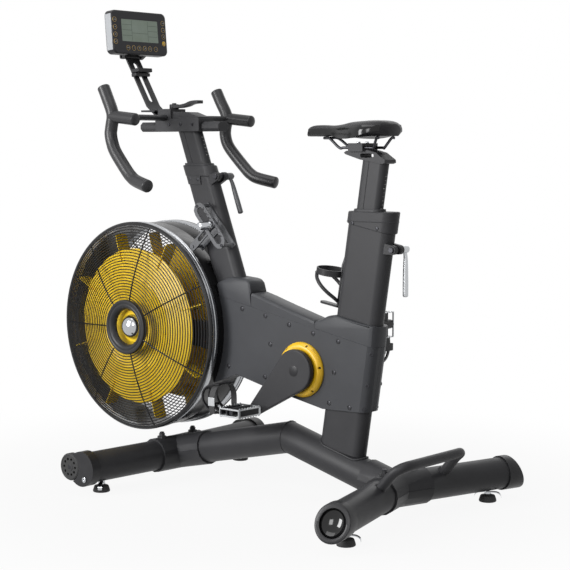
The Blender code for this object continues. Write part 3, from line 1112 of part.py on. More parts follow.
for sign in (-1.0, 1.0):
    post_spot = plate_mid + plate_along * sign * (PLATE_LENGTH / 2.0 - 0.006)
    plus(notch_plate, pipe((post_spot - Vector((0.0, back_y + 0.001, 0.0)), post_spot - Vector((0.0, PLATE_FACE - 0.001, 0.0))), 0.0050, 10))
plus(notch_plate, pipe((arm_pivot - Vector((0.0, back_y + 0.001, 0.0)), arm_pivot - Vector((0.0, PLATE_FACE - 0.005, 0.0))), 0.004, 10))

arm_face = PLATE_FACE - 0.007
arm_outer = [(y, x - ARM_REACH) for x, y in stadium(0.128, 0.021, shift=0.0535)]
arm_inner = [(y, x - ARM_REACH) for x, y in stadium(0.082, 0.012, shift=0.067)]
arm_bm = moved(tube_prism(arm_outer, arm_inner, arm_face - 0.004, arm_face), Matrix.Rotation(math.pi / 2.0, 4, "X"))
resistance_arm = piece("resistance_arm", moved(arm_bm, plate_turn), "grey_steel", arm_pivot)
minus(resistance_arm, pipe((arm_pivot, arm_pivot - Vector((0.0, 0.1, 0.0))), 0.004 + RUN, 10))
knob_profile = [(0.0, arm_face - 0.010), (0.0085, arm_face - 0.010), (0.0085, arm_face - 0.004 - RUN), (0.004, arm_face - 0.004 - RUN),
                (0.004, PLATE_FACE - 0.002), (0.004, PLATE_FACE + RUN), (0.013, PLATE_FACE + RUN), (0.013, PLATE_FACE + 0.006),
                (0.0105, PLATE_FACE + 0.008), (0.0105, PLATE_FACE + 0.036), (0.008, PLATE_FACE + 0.039), (0.0, PLATE_FACE + 0.039)]
knob_bm = turned(knob_profile, 10)
knob_bm.transform(Matrix.Translation(plate_mid) @ Matrix.Rotation(math.pi / 2.0, 4, "X"))
piece("resistance_knob", closed(knob_bm), "bright_steel", plate_mid)
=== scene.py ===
import json
import math

import bmesh
import bpy
from mathutils import Matrix, Vector

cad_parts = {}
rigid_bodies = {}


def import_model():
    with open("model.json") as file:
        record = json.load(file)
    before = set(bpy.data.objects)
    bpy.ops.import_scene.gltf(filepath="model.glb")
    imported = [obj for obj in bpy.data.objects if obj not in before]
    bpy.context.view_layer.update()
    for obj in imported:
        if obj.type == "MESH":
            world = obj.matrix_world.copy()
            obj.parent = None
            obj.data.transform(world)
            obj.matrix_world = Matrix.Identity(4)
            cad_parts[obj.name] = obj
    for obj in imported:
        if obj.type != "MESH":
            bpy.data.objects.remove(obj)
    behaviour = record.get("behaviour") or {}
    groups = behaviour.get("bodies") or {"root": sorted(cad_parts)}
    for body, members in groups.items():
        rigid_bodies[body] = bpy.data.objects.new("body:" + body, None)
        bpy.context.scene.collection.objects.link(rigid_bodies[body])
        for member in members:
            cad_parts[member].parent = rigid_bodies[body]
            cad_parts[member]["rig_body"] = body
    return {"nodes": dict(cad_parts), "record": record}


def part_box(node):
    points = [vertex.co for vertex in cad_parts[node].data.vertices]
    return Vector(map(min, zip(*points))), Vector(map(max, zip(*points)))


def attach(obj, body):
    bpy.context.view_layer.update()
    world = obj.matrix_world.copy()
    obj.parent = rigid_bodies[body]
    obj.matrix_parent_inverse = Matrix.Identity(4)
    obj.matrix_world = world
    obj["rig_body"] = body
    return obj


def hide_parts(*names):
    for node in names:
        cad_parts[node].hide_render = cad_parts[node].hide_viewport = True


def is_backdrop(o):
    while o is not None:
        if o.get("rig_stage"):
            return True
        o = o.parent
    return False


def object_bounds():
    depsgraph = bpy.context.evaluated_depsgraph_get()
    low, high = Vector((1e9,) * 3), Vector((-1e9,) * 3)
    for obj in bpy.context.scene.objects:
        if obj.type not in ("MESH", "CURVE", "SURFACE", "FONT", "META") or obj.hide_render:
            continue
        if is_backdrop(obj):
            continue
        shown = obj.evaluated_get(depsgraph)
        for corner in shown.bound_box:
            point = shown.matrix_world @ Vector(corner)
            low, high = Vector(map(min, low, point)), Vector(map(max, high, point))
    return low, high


for old in list(bpy.data.objects):
    bpy.data.objects.remove(old, do_unlink=True)

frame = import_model()
cad_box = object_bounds()

# Studio: a long-lens camera at the height of the handlebar, seen from behind the rider's left,
# a pale floor, one large overhead softbox, and softboxes at the left, the camera and the back.
LENS = 98.07
CAMERA_PLACE = (2.70653, -3.0158, 0.9064)
CAMERA_TURN = (math.radians(84.873), 0.0, math.radians(40.553))
FLOOR_COLOUR = "#a6a6a6"

camera_data = bpy.data.cameras.new("camera")
camera_data.lens = LENS
camera_data.sensor_width = 36.0
camera_data.clip_end = 60.0
camera = bpy.data.objects.new("camera", camera_data)
camera.location = CAMERA_PLACE
camera.rotation_euler = CAMERA_TURN
bpy.context.scene.collection.objects.link(camera)
bpy.context.scene.camera = camera
bpy.context.scene.view_settings.view_transform = "Standard"


def linear(hex_colour):
    """An sRGB hex value as the linear colour that shaders take."""
    values = [int(hex_colour[i:i + 2], 16) / 255.0 for i in (1, 3, 5)]
    return tuple(v / 12.92 if v <= 0.04045 else ((v + 0.055) / 1.055) ** 2.4 for v in values) + (1.0,)


def add(tree, kind, settings=None, links=None):
    """Adds one node: settings name its properties or input sockets, links feed its input sockets."""
    made = tree.nodes.new(kind)
    for key, value in (settings or {}).items():
        if isinstance(key, int) or key in made.inputs:
            made.inputs[key].default_value = value
        else:
            setattr(made, key, value)
    for key, socket in (links or {}).items():
        tree.links.new(socket, made.inputs[key])
    return made


world = bpy.data.worlds.new("studio")
bpy.context.scene.world = world
world.use_nodes = True
sky = world.node_tree
sky.nodes.clear()
rays = add(sky, "ShaderNodeLightPath")
seen = add(sky, "ShaderNodeMath", {"operation": "MAXIMUM"}, {0: rays.outputs["Is Camera Ray"],
                                                          1: rays.outputs["Is Glossy Ray"]})
seen = add(sky, "ShaderNodeMath", {"operation": "MAXIMUM"}, {0: seen.outputs[0],
                                                          1: rays.outputs["Is Transmission Ray"]})
soft = add(sky, "ShaderNodeBackground", {"Color": linear("#ffffff"), "Strength": 0.05})
white = add(sky, "ShaderNodeBackground", {"Color": linear("#ffffff"), "Strength": 1.0})
both = add(sky, "ShaderNodeMixShader", None, {0: seen.outputs[0], 1: soft.outputs[0], 2: white.outputs[0]})
add(sky, "ShaderNodeOutputWorld", None, {"Surface": both.outputs[0]})

floor_mesh = bpy.data.meshes.new("floor")
FLOOR_HALF = 40.0
floor_corners = [(x * FLOOR_HALF, y * FLOOR_HALF, 0.0) for x, y in ((-1, -1), (1, -1), (1, 1), (-1, 1))]
floor_mesh.from_pydata(floor_corners, [], [(0, 1, 2, 3)])
floor = bpy.data.objects.new("floor", floor_mesh)
floor.location.z = -0.0006
bpy.context.scene.collection.objects.link(floor)
paper = bpy.data.materials.new("floor_paper")
paper.use_nodes = True
paper_tree = paper.node_tree
paper_tree.nodes.clear()
paper_rays = add(paper_tree, "ShaderNodeLightPath")
matt = add(paper_tree, "ShaderNodeBsdfDiffuse", {"Color": linear(FLOOR_COLOUR)})
glow = add(paper_tree, "ShaderNodeEmission", {"Color": linear("#ffffff"), "Strength": 1.0})
# The paper keeps the object's shadow close by and runs out to plain white further off.
PAPER_NEAR_GLOW = 0.92
paper_place = add(paper_tree, "ShaderNodeTexCoord")
paper_reach = add(paper_tree, "ShaderNodeVectorMath", {"operation": "LENGTH"},
                  {0: paper_place.outputs["Object"]})
paper_fade = add(paper_tree, "ShaderNodeMapRange",
                 {"From Min": 0.45, "From Max": 1.5, "To Min": PAPER_NEAR_GLOW, "To Max": 1.0,
                                                    "interpolation_type": "SMOOTHSTEP"},
                 {"Value": paper_reach.outputs["Value"]})
paper_seen = add(paper_tree, "ShaderNodeMath", {"operation": "MAXIMUM"},
                 {0: paper_rays.outputs["Is Camera Ray"],
                    1: paper_rays.outputs["Is Glossy Ray"]})
paper_seen = add(paper_tree, "ShaderNodeMath", {"operation": "MAXIMUM"}, {0: paper_seen.outputs[0],
                    1: paper_rays.outputs["Is Transmission Ray"]})
share = add(paper_tree, "ShaderNodeMath", {"operation": "MULTIPLY"},
            {0: paper_seen.outputs[0], 1: paper_fade.outputs[0]})
paper_mix = add(paper_tree, "ShaderNodeMixShader", None, {0: share.outputs[0], 1: matt.outputs[0],
                                                         2: glow.outputs[0]})
add(paper_tree, "ShaderNodeOutputMaterial", None, {"Surface": paper_mix.outputs[0]})
floor_mesh.materials.append(paper)
floor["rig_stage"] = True

# name, place, aimed at, size, watts
LIGHT_PLAN = (
    ("overhead_box", (0.1, -0.5, 3.2), (0.0, 0.0, 0.4), (2.4, 1.8), 34.0),
    ("left_box", (-1.3, -3.1, 1.5), (0.0, 0.0, 0.6), (1.2, 1.9), 135.0),
    ("camera_box", (1.6, -3.4, 1.9), (0.0, 0.0, 0.6), (1.2, 1.4), 48.0),
    ("back_box", (-1.0, 2.8, 2.1), (0.0, 0.0, 0.6), (1.6, 1.6), 8.0),
)
for light_name, place, aim, size, watts in LIGHT_PLAN:
    lamp = bpy.data.lights.new(light_name, "AREA")
    lamp.shape = "RECTANGLE"
    lamp.size, lamp.size_y = size
    lamp.energy = watts
    lamp_object = bpy.data.objects.new(light_name, lamp)
    lamp_object.location = place
    lamp_object.rotation_euler = (Vector(aim) - Vector(place)).to_track_quat("-Z", "Y").to_euler()
    bpy.context.scene.collection.objects.link(lamp_object)

# Base tubes: three lengths of round steel tube, powder coated charcoal. The spine is mitred and
# welded at its bend, coped onto the two cross tubes, and all three end inside moulded clamp shells.
TUBE_RADIUS = 0.0405
BASE_HEIGHT = 0.069
FRONT_X, BEND_X, REAR_X = -0.26007, 0.14293, 0.47493
BEND_HEIGHT = 0.1575
FRONT_SWEEP, REAR_SWEEP = math.radians(3.6), math.radians(16.0)
FRONT_TUBE_HALF, REAR_TUBE_HALF = 0.315, 0.352
TUBE_SIDES = 56
COAT_COLOUR, COAT_SPOTS = "#2c2c2e", "#363638"
COAT_GRIT_MM, COAT_MOTTLE_MM = 1.6, 45.0


def material(name, colour, roughness, metallic=0.0, **sockets):
    """Starts a named finish; constants go straight onto the shader's own sockets."""
    made = bpy.data.materials.new(name)
    made.use_nodes = True
    shader = made.node_tree.nodes["Principled BSDF"]
    shader.inputs["Base Color"].default_value = linear(colour)
    shader.inputs["Roughness"].default_value = roughness
    shader.inputs["Metallic"].default_value = metallic
    for socket, value in sockets.items():
        shader.inputs[socket.replace("_", " ")].default_value = value
    return made, made.node_tree, shader


def per_metre(millimetres):
    """Texture scale at which one feature of a noise measures this many millimetres."""
    return 1000.0 / millimetres


# Powder coat: baked resin, faint orange peel; a satin grey-black with a soft wide highlight.
# The peel is about 0.6 mm on the real coat and is drawn coarser so that it shows.
powder_coat, coat_tree, coat_shader = material("charcoal_powder_coat", COAT_COLOUR, 0.38, IOR=1.5,
                                               Specular_IOR_Level=0.2)
coat_place = add(coat_tree, "ShaderNodeTexCoord")
coat_mottle = add(coat_tree, "ShaderNodeTexNoise", {"Scale": per_metre(COAT_MOTTLE_MM), "Detail": 3.0},
                  {"Vector": coat_place.outputs["Object"]})
coat_tint = add(coat_tree, "ShaderNodeMix", {"data_type": "RGBA", 6: linear(COAT_COLOUR),
                                             7: linear(COAT_SPOTS)},
                {0: coat_mottle.outputs["Fac"]})
coat_tree.links.new(coat_tint.outputs[2], coat_shader.inputs["Base Color"])
coat_rough = add(coat_tree, "ShaderNodeMapRange", {"To Min": 0.40, "To Max": 0.52},
                 {"Value": coat_mottle.outputs["Fac"]})
coat_tree.links.new(coat_rough.outputs[0], coat_shader.inputs["Roughness"])
coat_grit = add(coat_tree, "ShaderNodeTexNoise", {"Scale": per_metre(COAT_GRIT_MM), "Detail": 2.0},
                {"Vector": coat_place.outputs["Object"]})
coat_bump = add(coat_tree, "ShaderNodeBump", {"Strength": 0.12, "Distance": 0.0003},
                {"Height": coat_grit.outputs["Fac"]})
coat_tree.links.new(coat_bump.outputs[0], coat_shader.inputs["Normal"])


def solid(rings, loop=False):
    """A closed mesh through rings of points; a ring drawn to one point becomes a pole."""
    bm = bmesh.new()
    made = [[bm.verts.new(point) for point in ring] for ring in rings]
    pairs = list(zip(made, made[1:]))
    if loop:
        pairs.append((made[-1], made[0]))
    for low, high in pairs:
        for i in range(len(low)):
            j = (i + 1) % len(low)
            bm.faces.new((low[i], low[j], high[j], high[i]))
    if not loop:
        bm.faces.new(made[0])
        bm.faces.new(made[-1])
    bmesh.ops.remove_doubles(bm, verts=bm.verts, dist=1e-7)
    return outward(bm)


def outward(bm):
    """Turns every face to the outside."""
    bmesh.ops.recalc_face_normals(bm, faces=bm.faces)
    if bm.calc_volume(signed=True) < 0.0:
        bmesh.ops.reverse_faces(bm, faces=bm.faces)
    return bm


def placed(bm, matrix):
    bm.transform(matrix)
    return outward(bm)


def together(parts):
    """Several meshes as one."""
    whole = bmesh.new()
    for part in parts:
        scrap = bpy.data.meshes.new("scrap")
        part.to_mesh(scrap)
        part.free()
        whole.from_mesh(scrap)
        bpy.data.meshes.remove(scrap)
    return whole


def piece(name, bm, finish, body, slot, stands_for=(), bevel=0.0, steps=2, sharp=38.0):
    """One object on a body: smooth except at sharp edges, which a small bevel softens."""
    mesh = bpy.data.meshes.new(name)
    bm.to_mesh(mesh)
    bm.free()
    mesh.shade_smooth()
    mesh.set_sharp_from_angle(angle=math.radians(sharp))
    mesh.materials.append(finish)
    obj = bpy.data.objects.new(name, mesh)
    bpy.context.scene.collection.objects.link(obj)
    if bevel:
        edge = obj.modifiers.new("edge", "BEVEL")
        edge.width = bevel
        edge.segments = steps
        edge.limit_method = "ANGLE"
        edge.angle_limit = math.radians(sharp)
        edge.harden_normals = True
    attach(obj, body)
    if stands_for:
        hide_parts(*([stands_for] if isinstance(stands_for, str) else stands_for))
    return obj


def mitred_tube(path, radius, sides=TUBE_SIDES):
    """A round tube along straight runs, cut square at its ends and mitred at its corners."""
    points = [Vector(point) for point in path]
    runs = [(b - a).normalized() for a, b in zip(points, points[1:])]
    side = runs[0].orthogonal().normalized()
    other = runs[0].cross(side)
    turns = [2.0 * math.pi * i / sides for i in range(sides)]
    offsets = [(math.cos(a) * side + math.sin(a) * other) * radius for a in turns]
    rings = []
    for index, point in enumerate(points):
        if 0 < index < len(points) - 1:
            before, after = runs[index - 1], runs[index]
            plane = before + after
            offsets = [o - before * (o.dot(plane) / before.dot(plane)) for o in offsets]
            rings.append([point + o for o in offsets])
            offsets = [o - after * o.dot(after) for o in offsets]
        else:
            rings.append([point + o for o in offsets])
    return solid(rings)


def smooth(points, steps):
    """Points on a smooth curve through the given ones."""
    given = [Vector(p) for p in points]
    ends = [given[0] * 2.0 - given[1]] + given + [given[-1] * 2.0 - given[-2]]
    result = []
    for i in range(len(given) - 1):
        a, b, c, d = ends[i:i + 4]
        for k in range(steps):
            t = k / steps
            result.append(0.5 * (b * 2.0 + (c - a) * t + (a * 2.0 - b * 5.0 + c * 4.0 - d) * t * t
                                 + (b * 3.0 - a - c * 3.0 + d) * t ** 3))
    return result + [given[-1]]


def sweep(path, radius, sides=20, loop=False, ends=0.0):
    """A round bar along a curve; radius may be a list, and ends rounds both tips by that length."""
    points = [Vector(p) for p in path]
    sizes = list(radius) if isinstance(radius, (list, tuple)) else [radius] * len(points)
    if ends:
        first, last = (points[1] - points[0]).normalized(), (points[-1] - points[-2]).normalized()
        steps = (0.0, 0.25, 0.6)
        points = [points[0] + first * ends * s for s in steps] + [points[0] + first * ends] + points[1:
                -1] + \
                 [points[-1] - last * ends] + [points[-1] - last * ends * s for s in reversed(steps)]
        shape = (0.05, 0.66, 0.92, 1.0)
        sizes = [sizes[0] * s for s in shape] + sizes[1:-1] + [sizes[-1] * s for s in reversed(shape)]
    count = len(points)
    rings = []
    side = None
    for i, point in enumerate(points):
        before = points[i - 1] if i or loop else points[0]
        after = points[(i + 1) % count] if i < count - 1 or loop else points[-1]
        along = (after - before).normalized()
        side = (along.orthogonal() if side is None else side - along * side.dot(along)).normalized()
        other = along.cross(side)
        rings.append([point + (math.cos(a) * side + math.sin(a) * other) * sizes[i]
                      for a in (2.0 * math.pi * k / sides for k in range(sides))])
    return solid(rings, loop)


def front_point(y, z=BASE_HEIGHT):
    return Vector((FRONT_X - abs(y) * math.tan(FRONT_SWEEP), y, z))


def rear_point(y, z=BASE_HEIGHT):
    return Vector((REAR_X + abs(y) * math.tan(REAR_SWEEP), y, z))


front_node, rear_node = front_point(0.0), rear_point(0.0)
bend = Vector((BEND_X, 0.0, BEND_HEIGHT))
piece("front_tube", mitred_tube((front_point(-FRONT_TUBE_HALF), front_node, front_point(FRONT_TUBE_HALF)),
                                TUBE_RADIUS),
      powder_coat, "frame", "frame_paint", "front_base_tube")
rear_shown_half = REAR_TUBE_HALF - 0.018
piece("rear_tube", mitred_tube((rear_point(-rear_shown_half), rear_node, rear_point(rear_shown_half)),
                               TUBE_RADIUS),
      powder_coat, "frame", "frame_paint", "rear_base_tube")
piece("spine", mitred_tube((front_node, bend, rear_node), TUBE_RADIUS), powder_coat, "frame", "frame_paint",
      "spine_tube")

# Weld at the spine's mitre: a low bead ground almost flush, painted over with the tube.
before, after = (bend - front_node).normalized(), (rear_node - bend).normalized()
mitre = before + after
bead = []
for i in range(72):
    angle = 2.0 * math.pi * i / 72
    offset = (math.cos(angle) * Vector((0.0, 1.0,
                                        0.0)) + math.sin(angle) * before.cross(Vector((0.0, 1.0,
                                                0.0)))) * TUBE_RADIUS
    bead.append(bend + offset - before * (offset.dot(mitre) / before.dot(mitre)))
bead_sizes = [0.0015 + 0.0003 * math.sin(i * 2.2) for i in range(72)]
piece("spine_weld", sweep(bead, bead_sizes, 8, loop=True), powder_coat, "frame", "frame_paint")

# Clamp shells: two coated halves round each tube joint, drawn together by screws whose heads stand
# on raised bosses. The end caps are nylon: satin black, with a faint grain from the mould.
NYLON_COLOUR, NYLON_GREY = "#1d1d1f", "#29292b"
NYLON_GRAIN_MM = 2.2
nylon, nylon_tree, nylon_shader = material("black_glass_filled_nylon", NYLON_COLOUR, 0.38, IOR=1.53,
                                           Specular_IOR_Level=0.22)
nylon_place = add(nylon_tree, "ShaderNodeTexCoord")
nylon_cloud = add(nylon_tree, "ShaderNodeTexNoise", {"Scale": per_metre(30.0), "Detail": 2.0},
                  {"Vector": nylon_place.outputs["Object"]})
nylon_tint = add(nylon_tree, "ShaderNodeMix", {"data_type": "RGBA", 6: linear(NYLON_COLOUR),
                                               7: linear(NYLON_GREY)},
                 {0: nylon_cloud.outputs["Fac"]})
nylon_tree.links.new(nylon_tint.outputs[2], nylon_shader.inputs["Base Color"])
nylon_grain = add(nylon_tree, "ShaderNodeTexVoronoi", {"Scale": per_metre(NYLON_GRAIN_MM)},
                  {"Vector": nylon_place.outputs["Object"]})
nylon_bump = add(nylon_tree, "ShaderNodeBump", {"Strength": 0.10, "Distance": 0.0003},
                 {"Height": nylon_grain.outputs["Distance"]})
nylon_tree.links.new(nylon_bump.outputs[0], nylon_shader.inputs["Normal"])

# Blackened steel: oxide-finished screw heads, a dull dark metal.
black_oxide, oxide_tree, oxide_shader = material("black_oxide_steel", "#3b3b3e", 0.38, 1.0)
oxide_place = add(oxide_tree, "ShaderNodeTexCoord")
oxide_cloud = add(oxide_tree, "ShaderNodeTexNoise", {"Scale": per_metre(6.0)},
                  {"Vector": oxide_place.outputs["Object"]})
oxide_rough = add(oxide_tree, "ShaderNodeMapRange", {"To Min": 0.30, "To Max": 0.48},
                  {"Value": oxide_cloud.outputs["Fac"]})
oxide_tree.links.new(oxide_rough.outputs[0], oxide_shader.inputs["Roughness"])


def dressed(node, finish, bevel=0.0, sharp=38.0, name=None):
    """A shown copy of a CAD solid: its facets joined, its edges softened, its finish put on."""
    source = frame["nodes"][node]
    bm = bmesh.new()
    bm.from_mesh(source.data)
    bmesh.ops.remove_doubles(bm, verts=bm.verts, dist=2e-6)
    bmesh.ops.dissolve_limit(bm, angle_limit=math.radians(1.0), verts=bm.verts, edges=bm.edges)
    return piece(name or node + "_shown", outward(bm), finish, source["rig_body"],
                 slot_of[node], node, bevel, 2, sharp)


slot_of = {part["node"]: part["material_slot"] for part in frame["record"]["subparts"]}


def lathe(profile, sides=48, loop=False):
    """Turned about local Z from (radius, height) points."""
    turns = [2.0 * math.pi * i / sides for i in range(sides)]
    return solid([[(r * math.cos(a), r * math.sin(a), h) for a in turns] for r, h in profile], loop)


def facing(place, direction):
    """A frame at place whose local Z looks along direction."""
    turn = Vector(direction).to_track_quat("Z", "Y").to_matrix().to_4x4()
    return Matrix.Translation(Vector(place)) @ turn


def screw(radius, height, socket):
    """A cap screw's head with a hexagon socket, standing on z = 0."""
    hexagon = 6
    sides = 24
    turns = [2.0 * math.pi * i / sides for i in range(sides)]
    outer = [(radius * 0.98, 0.0), (radius, height * 0.25), (radius, height * 0.8), (radius * 0.86, height)]
    rings = [[(r * math.cos(a), r * math.sin(a), h) for a in turns] for r, h in outer]

    def wall(h):
        points = []
        for a in turns:
            step = 2.0 * math.pi / hexagon
            off = (a + step / 2.0) % step - step / 2.0
            r = socket * math.cos(step / 2.0) / math.cos(off)
            points.append((r * math.cos(a), r * math.sin(a), h))
        return points

    rings += [wall(height), wall(height * 0.45)]
    return solid(rings)


CLAMP_BOLT_Y = 0.060
BOLT_BASE = BASE_HEIGHT + TUBE_RADIUS + 0.016
bolts = []
for clamp_end, point_at in (("front", front_point), ("rear", rear_point)):
    for clamp_half in ("upper", "lower"):
        dressed(clamp_end + "_clamp_" + clamp_half, powder_coat, 0.0012, 30.0)
    for y in (-CLAMP_BOLT_Y, CLAMP_BOLT_Y):
        bolts.append(placed(screw(0.0062, 0.0050, 0.0030), Matrix.Translation(point_at(y, BOLT_BASE))))
piece("clamp_screws", together(bolts), black_oxide, "frame", "grey_steel", bevel=0.0003)

# Front end caps: nylon mouldings pushed into the tube ends, with a forward nose that carries the
# transport roller in a round pocket. Each is held by one cross-head screw below the pocket.
CAP_OUTER = 0.044
FRONT_HALF, CAP_DEPTH = 0.341, 0.029
WHEEL_AHEAD = 0.046
CAP_X = front_point(FRONT_HALF - 0.021).x
WHEEL_X = CAP_X - WHEEL_AHEAD
POCKET_RADIUS = 0.0375


def arc(centre, radius, start, end, count):
    """Points on a circle from start to end, in degrees, both included."""
    angles = [math.radians(start + (end - start) * i / (count - 1)) for i in range(count)]
    return [(centre[0] + radius * math.cos(a), centre[1] + radius * math.sin(a)) for a in angles]


def teardrop(big, small, reach, angle, count):
    """Two circles and their tangents: big at the origin, small at reach along angle."""
    spread = math.degrees(math.acos((big - small) / reach))
    turn = math.degrees(angle)
    tip = (reach * math.cos(angle), reach * math.sin(angle))
    return arc((0.0, 0.0), big, turn + spread, turn + 360.0 - spread, 2 * count) + arc(tip, small,
            turn - spread, turn + spread, count)


def prism(outline, low, high):
    return solid([[(u, v, low) for u, v in outline], [(u, v, high) for u, v in outline]])


def carved(bm, tools):
    """The solid with each tool cut out of it."""
    scratch = []
    for index, shape in enumerate([bm] + list(tools)):
        mesh = bpy.data.meshes.new("scratch" + str(index))
        shape.to_mesh(mesh)
        shape.free()
        obj = bpy.data.objects.new(mesh.name, mesh)
        bpy.context.scene.collection.objects.link(obj)
        scratch.append(obj)
    for tool in scratch[1:]:
        cut = scratch[0].modifiers.new("cut", "BOOLEAN")
        cut.operation = "DIFFERENCE"
        cut.solver = "EXACT"
        cut.object = tool
    bpy.context.view_layer.update()
    result = bmesh.new()
    result.from_mesh(scratch[0].evaluated_get(bpy.context.evaluated_depsgraph_get()).to_mesh())
    for obj in scratch:
        mesh = obj.data
        bpy.data.objects.remove(obj)
        bpy.data.meshes.remove(mesh)
    return result


# Local x runs along the machine, local y up and local z out to the left.
LEFTWARD = Matrix.Rotation(math.pi / 2.0, 4, "X")


def sided(bm, side):
    """A left-hand shape, mirrored for the right side."""
    if side > 0.0:
        bm.transform(Matrix.Scale(-1.0, 4, (0.0, 1.0, 0.0)))
    return outward(bm)


rubber, rubber_tree, rubber_shader = material("black_rubber", "#161616", 0.72, IOR=1.52)
rubber_place = add(rubber_tree, "ShaderNodeTexCoord")
rubber_dust = add(rubber_tree, "ShaderNodeTexNoise", {"Scale": per_metre(5.0), "Detail": 4.0},
                  {"Vector": rubber_place.outputs["Object"]})
rubber_tint = add(rubber_tree, "ShaderNodeMix",
                  {"data_type": "RGBA", 6: linear("#131313"), 7: linear("#222223")},
                  {0: rubber_dust.outputs["Fac"]})
rubber_tree.links.new(rubber_tint.outputs[2], rubber_shader.inputs["Base Color"])
rubber_bump = add(rubber_tree, "ShaderNodeBump", {"Strength": 0.15, "Distance": 0.0004},
                  {"Height": rubber_dust.outputs["Fac"]})
rubber_tree.links.new(rubber_bump.outputs[0], rubber_shader.inputs["Normal"])

chrome, chrome_tree, chrome_shader = material("chrome_plated_steel", "#b4b6b9", 0.09, 1.0)
chrome_place = add(chrome_tree, "ShaderNodeTexCoord")
chrome_haze = add(chrome_tree, "ShaderNodeTexNoise", {"Scale": per_metre(12.0)},
                  {"Vector": chrome_place.outputs["Object"]})
chrome_rough = add(chrome_tree, "ShaderNodeMapRange", {"To Min": 0.06, "To Max": 0.16},
                   {"Value": chrome_haze.outputs["Fac"]})
chrome_tree.links.new(chrome_rough.outputs[0], chrome_shader.inputs["Roughness"])

SIDES = (("left", -1.0), ("right", 1.0))
for side_name, side in SIDES:
    body_shape = prism(teardrop(CAP_OUTER + 0.002, 0.024, WHEEL_AHEAD, math.pi, 28), FRONT_HALF - CAP_DEPTH,
                       FRONT_HALF)
    pocket = placed(lathe([(0.0, FRONT_HALF - 0.0215), (POCKET_RADIUS, FRONT_HALF - 0.0215),
                           (POCKET_RADIUS, FRONT_HALF + 0.01),
                           (0.0, FRONT_HALF + 0.01)], 64), Matrix.Translation((-WHEEL_AHEAD, 0.0, 0.0)))
    cap = placed(carved(body_shape, [pocket]), Matrix.Translation((CAP_X, 0.0, BASE_HEIGHT)) @ LEFTWARD)
    piece("front_" + side_name + "_cap", sided(cap, side), nylon, "frame", "black_plastic",
          "front_" + side_name + "_end_cap", 0.0014)
    pin = lathe([(0.0, -0.002), (0.005, -0.002), (0.005, 0.0185), (0.0078, 0.0185), (0.0078, 0.0195),
                 (0.0058, 0.0212),
                 (0.0, 0.0214)], 32)
    place = Matrix.Translation((WHEEL_X, -(FRONT_HALF - 0.0215), BASE_HEIGHT)) @ LEFTWARD
    piece("front_" + side_name + "_roller_pin", sided(placed(pin, place), side), black_oxide, "frame",
          "grey_steel")
    cap_screw = placed(screw(0.0072, 0.0034, 0.0034),
                       Matrix.Translation((CAP_X + 0.014, -FRONT_HALF, BASE_HEIGHT - 0.026)) @ LEFTWARD)
    piece("front_" + side_name + "_cap_screw", sided(cap_screw, side), chrome, "frame", "bright_steel",
          bevel=0.0003)

    # Transport roller: a hard rubber wheel with a ring of moulding holes round its hub.
    tread = lathe([(0.0055, 0.0), (0.030, 0.0), (0.0345, 0.0012), (0.036, 0.0035), (0.036, 0.0165),
                   (0.0345, 0.0188),
                   (0.031, 0.020), (0.0295, 0.0188), (0.0115, 0.0188), (0.0105, 0.0200), (0.0055, 0.0200)],
                  64, loop=True)
    holes = []
    for k in range(10):
        angle = 2.0 * math.pi * k / 10
        spot = (0.0208 * math.cos(angle), 0.0208 * math.sin(angle), 0.0)
        holes.append(placed(lathe([(0.0, 0.012), (0.0036, 0.012), (0.0036, 0.03), (0.0, 0.03)], 14),
                            Matrix.Translation(spot)))
    wheel = placed(carved(tread, holes), Matrix.Translation((WHEEL_X, -(FRONT_HALF - 0.0209),
                                                             BASE_HEIGHT)) @ LEFTWARD)
    piece("front_" + side_name + "_roller", sided(wheel, side), rubber, side_name + "_wheel", "rubber",
          "front_" + side_name + "_wheel", 0.0004)

# Rear end caps: nylon sleeves cut on the slant, each with a deep polished bowl set into its face.
CAP_TILT = 0.38
gloss_black, gloss_tree, gloss_shader = material("polished_black_abs", "#0b0b0c", 0.08, IOR=1.54,
                                                 Specular_IOR_Level=0.4)
gloss_place = add(gloss_tree, "ShaderNodeTexCoord")
gloss_cloud = add(gloss_tree, "ShaderNodeTexNoise", {"Scale": per_metre(9.0)},
                  {"Vector": gloss_place.outputs["Object"]})
gloss_rough = add(gloss_tree, "ShaderNodeMapRange", {"To Min": 0.05, "To Max": 0.13},
                  {"Value": gloss_cloud.outputs["Fac"]})
gloss_tree.links.new(gloss_rough.outputs[0], gloss_shader.inputs["Roughness"])


def slanted(profile, sides, loop=False, foot=0.005):
    """Turned about local Z, with everything above the foot leaned over."""
    bm = lathe(profile, sides, loop)
    for vert in bm.verts:
        if vert.co.z > foot:
            vert.co.z += CAP_TILT * vert.co.y
    return outward(bm)


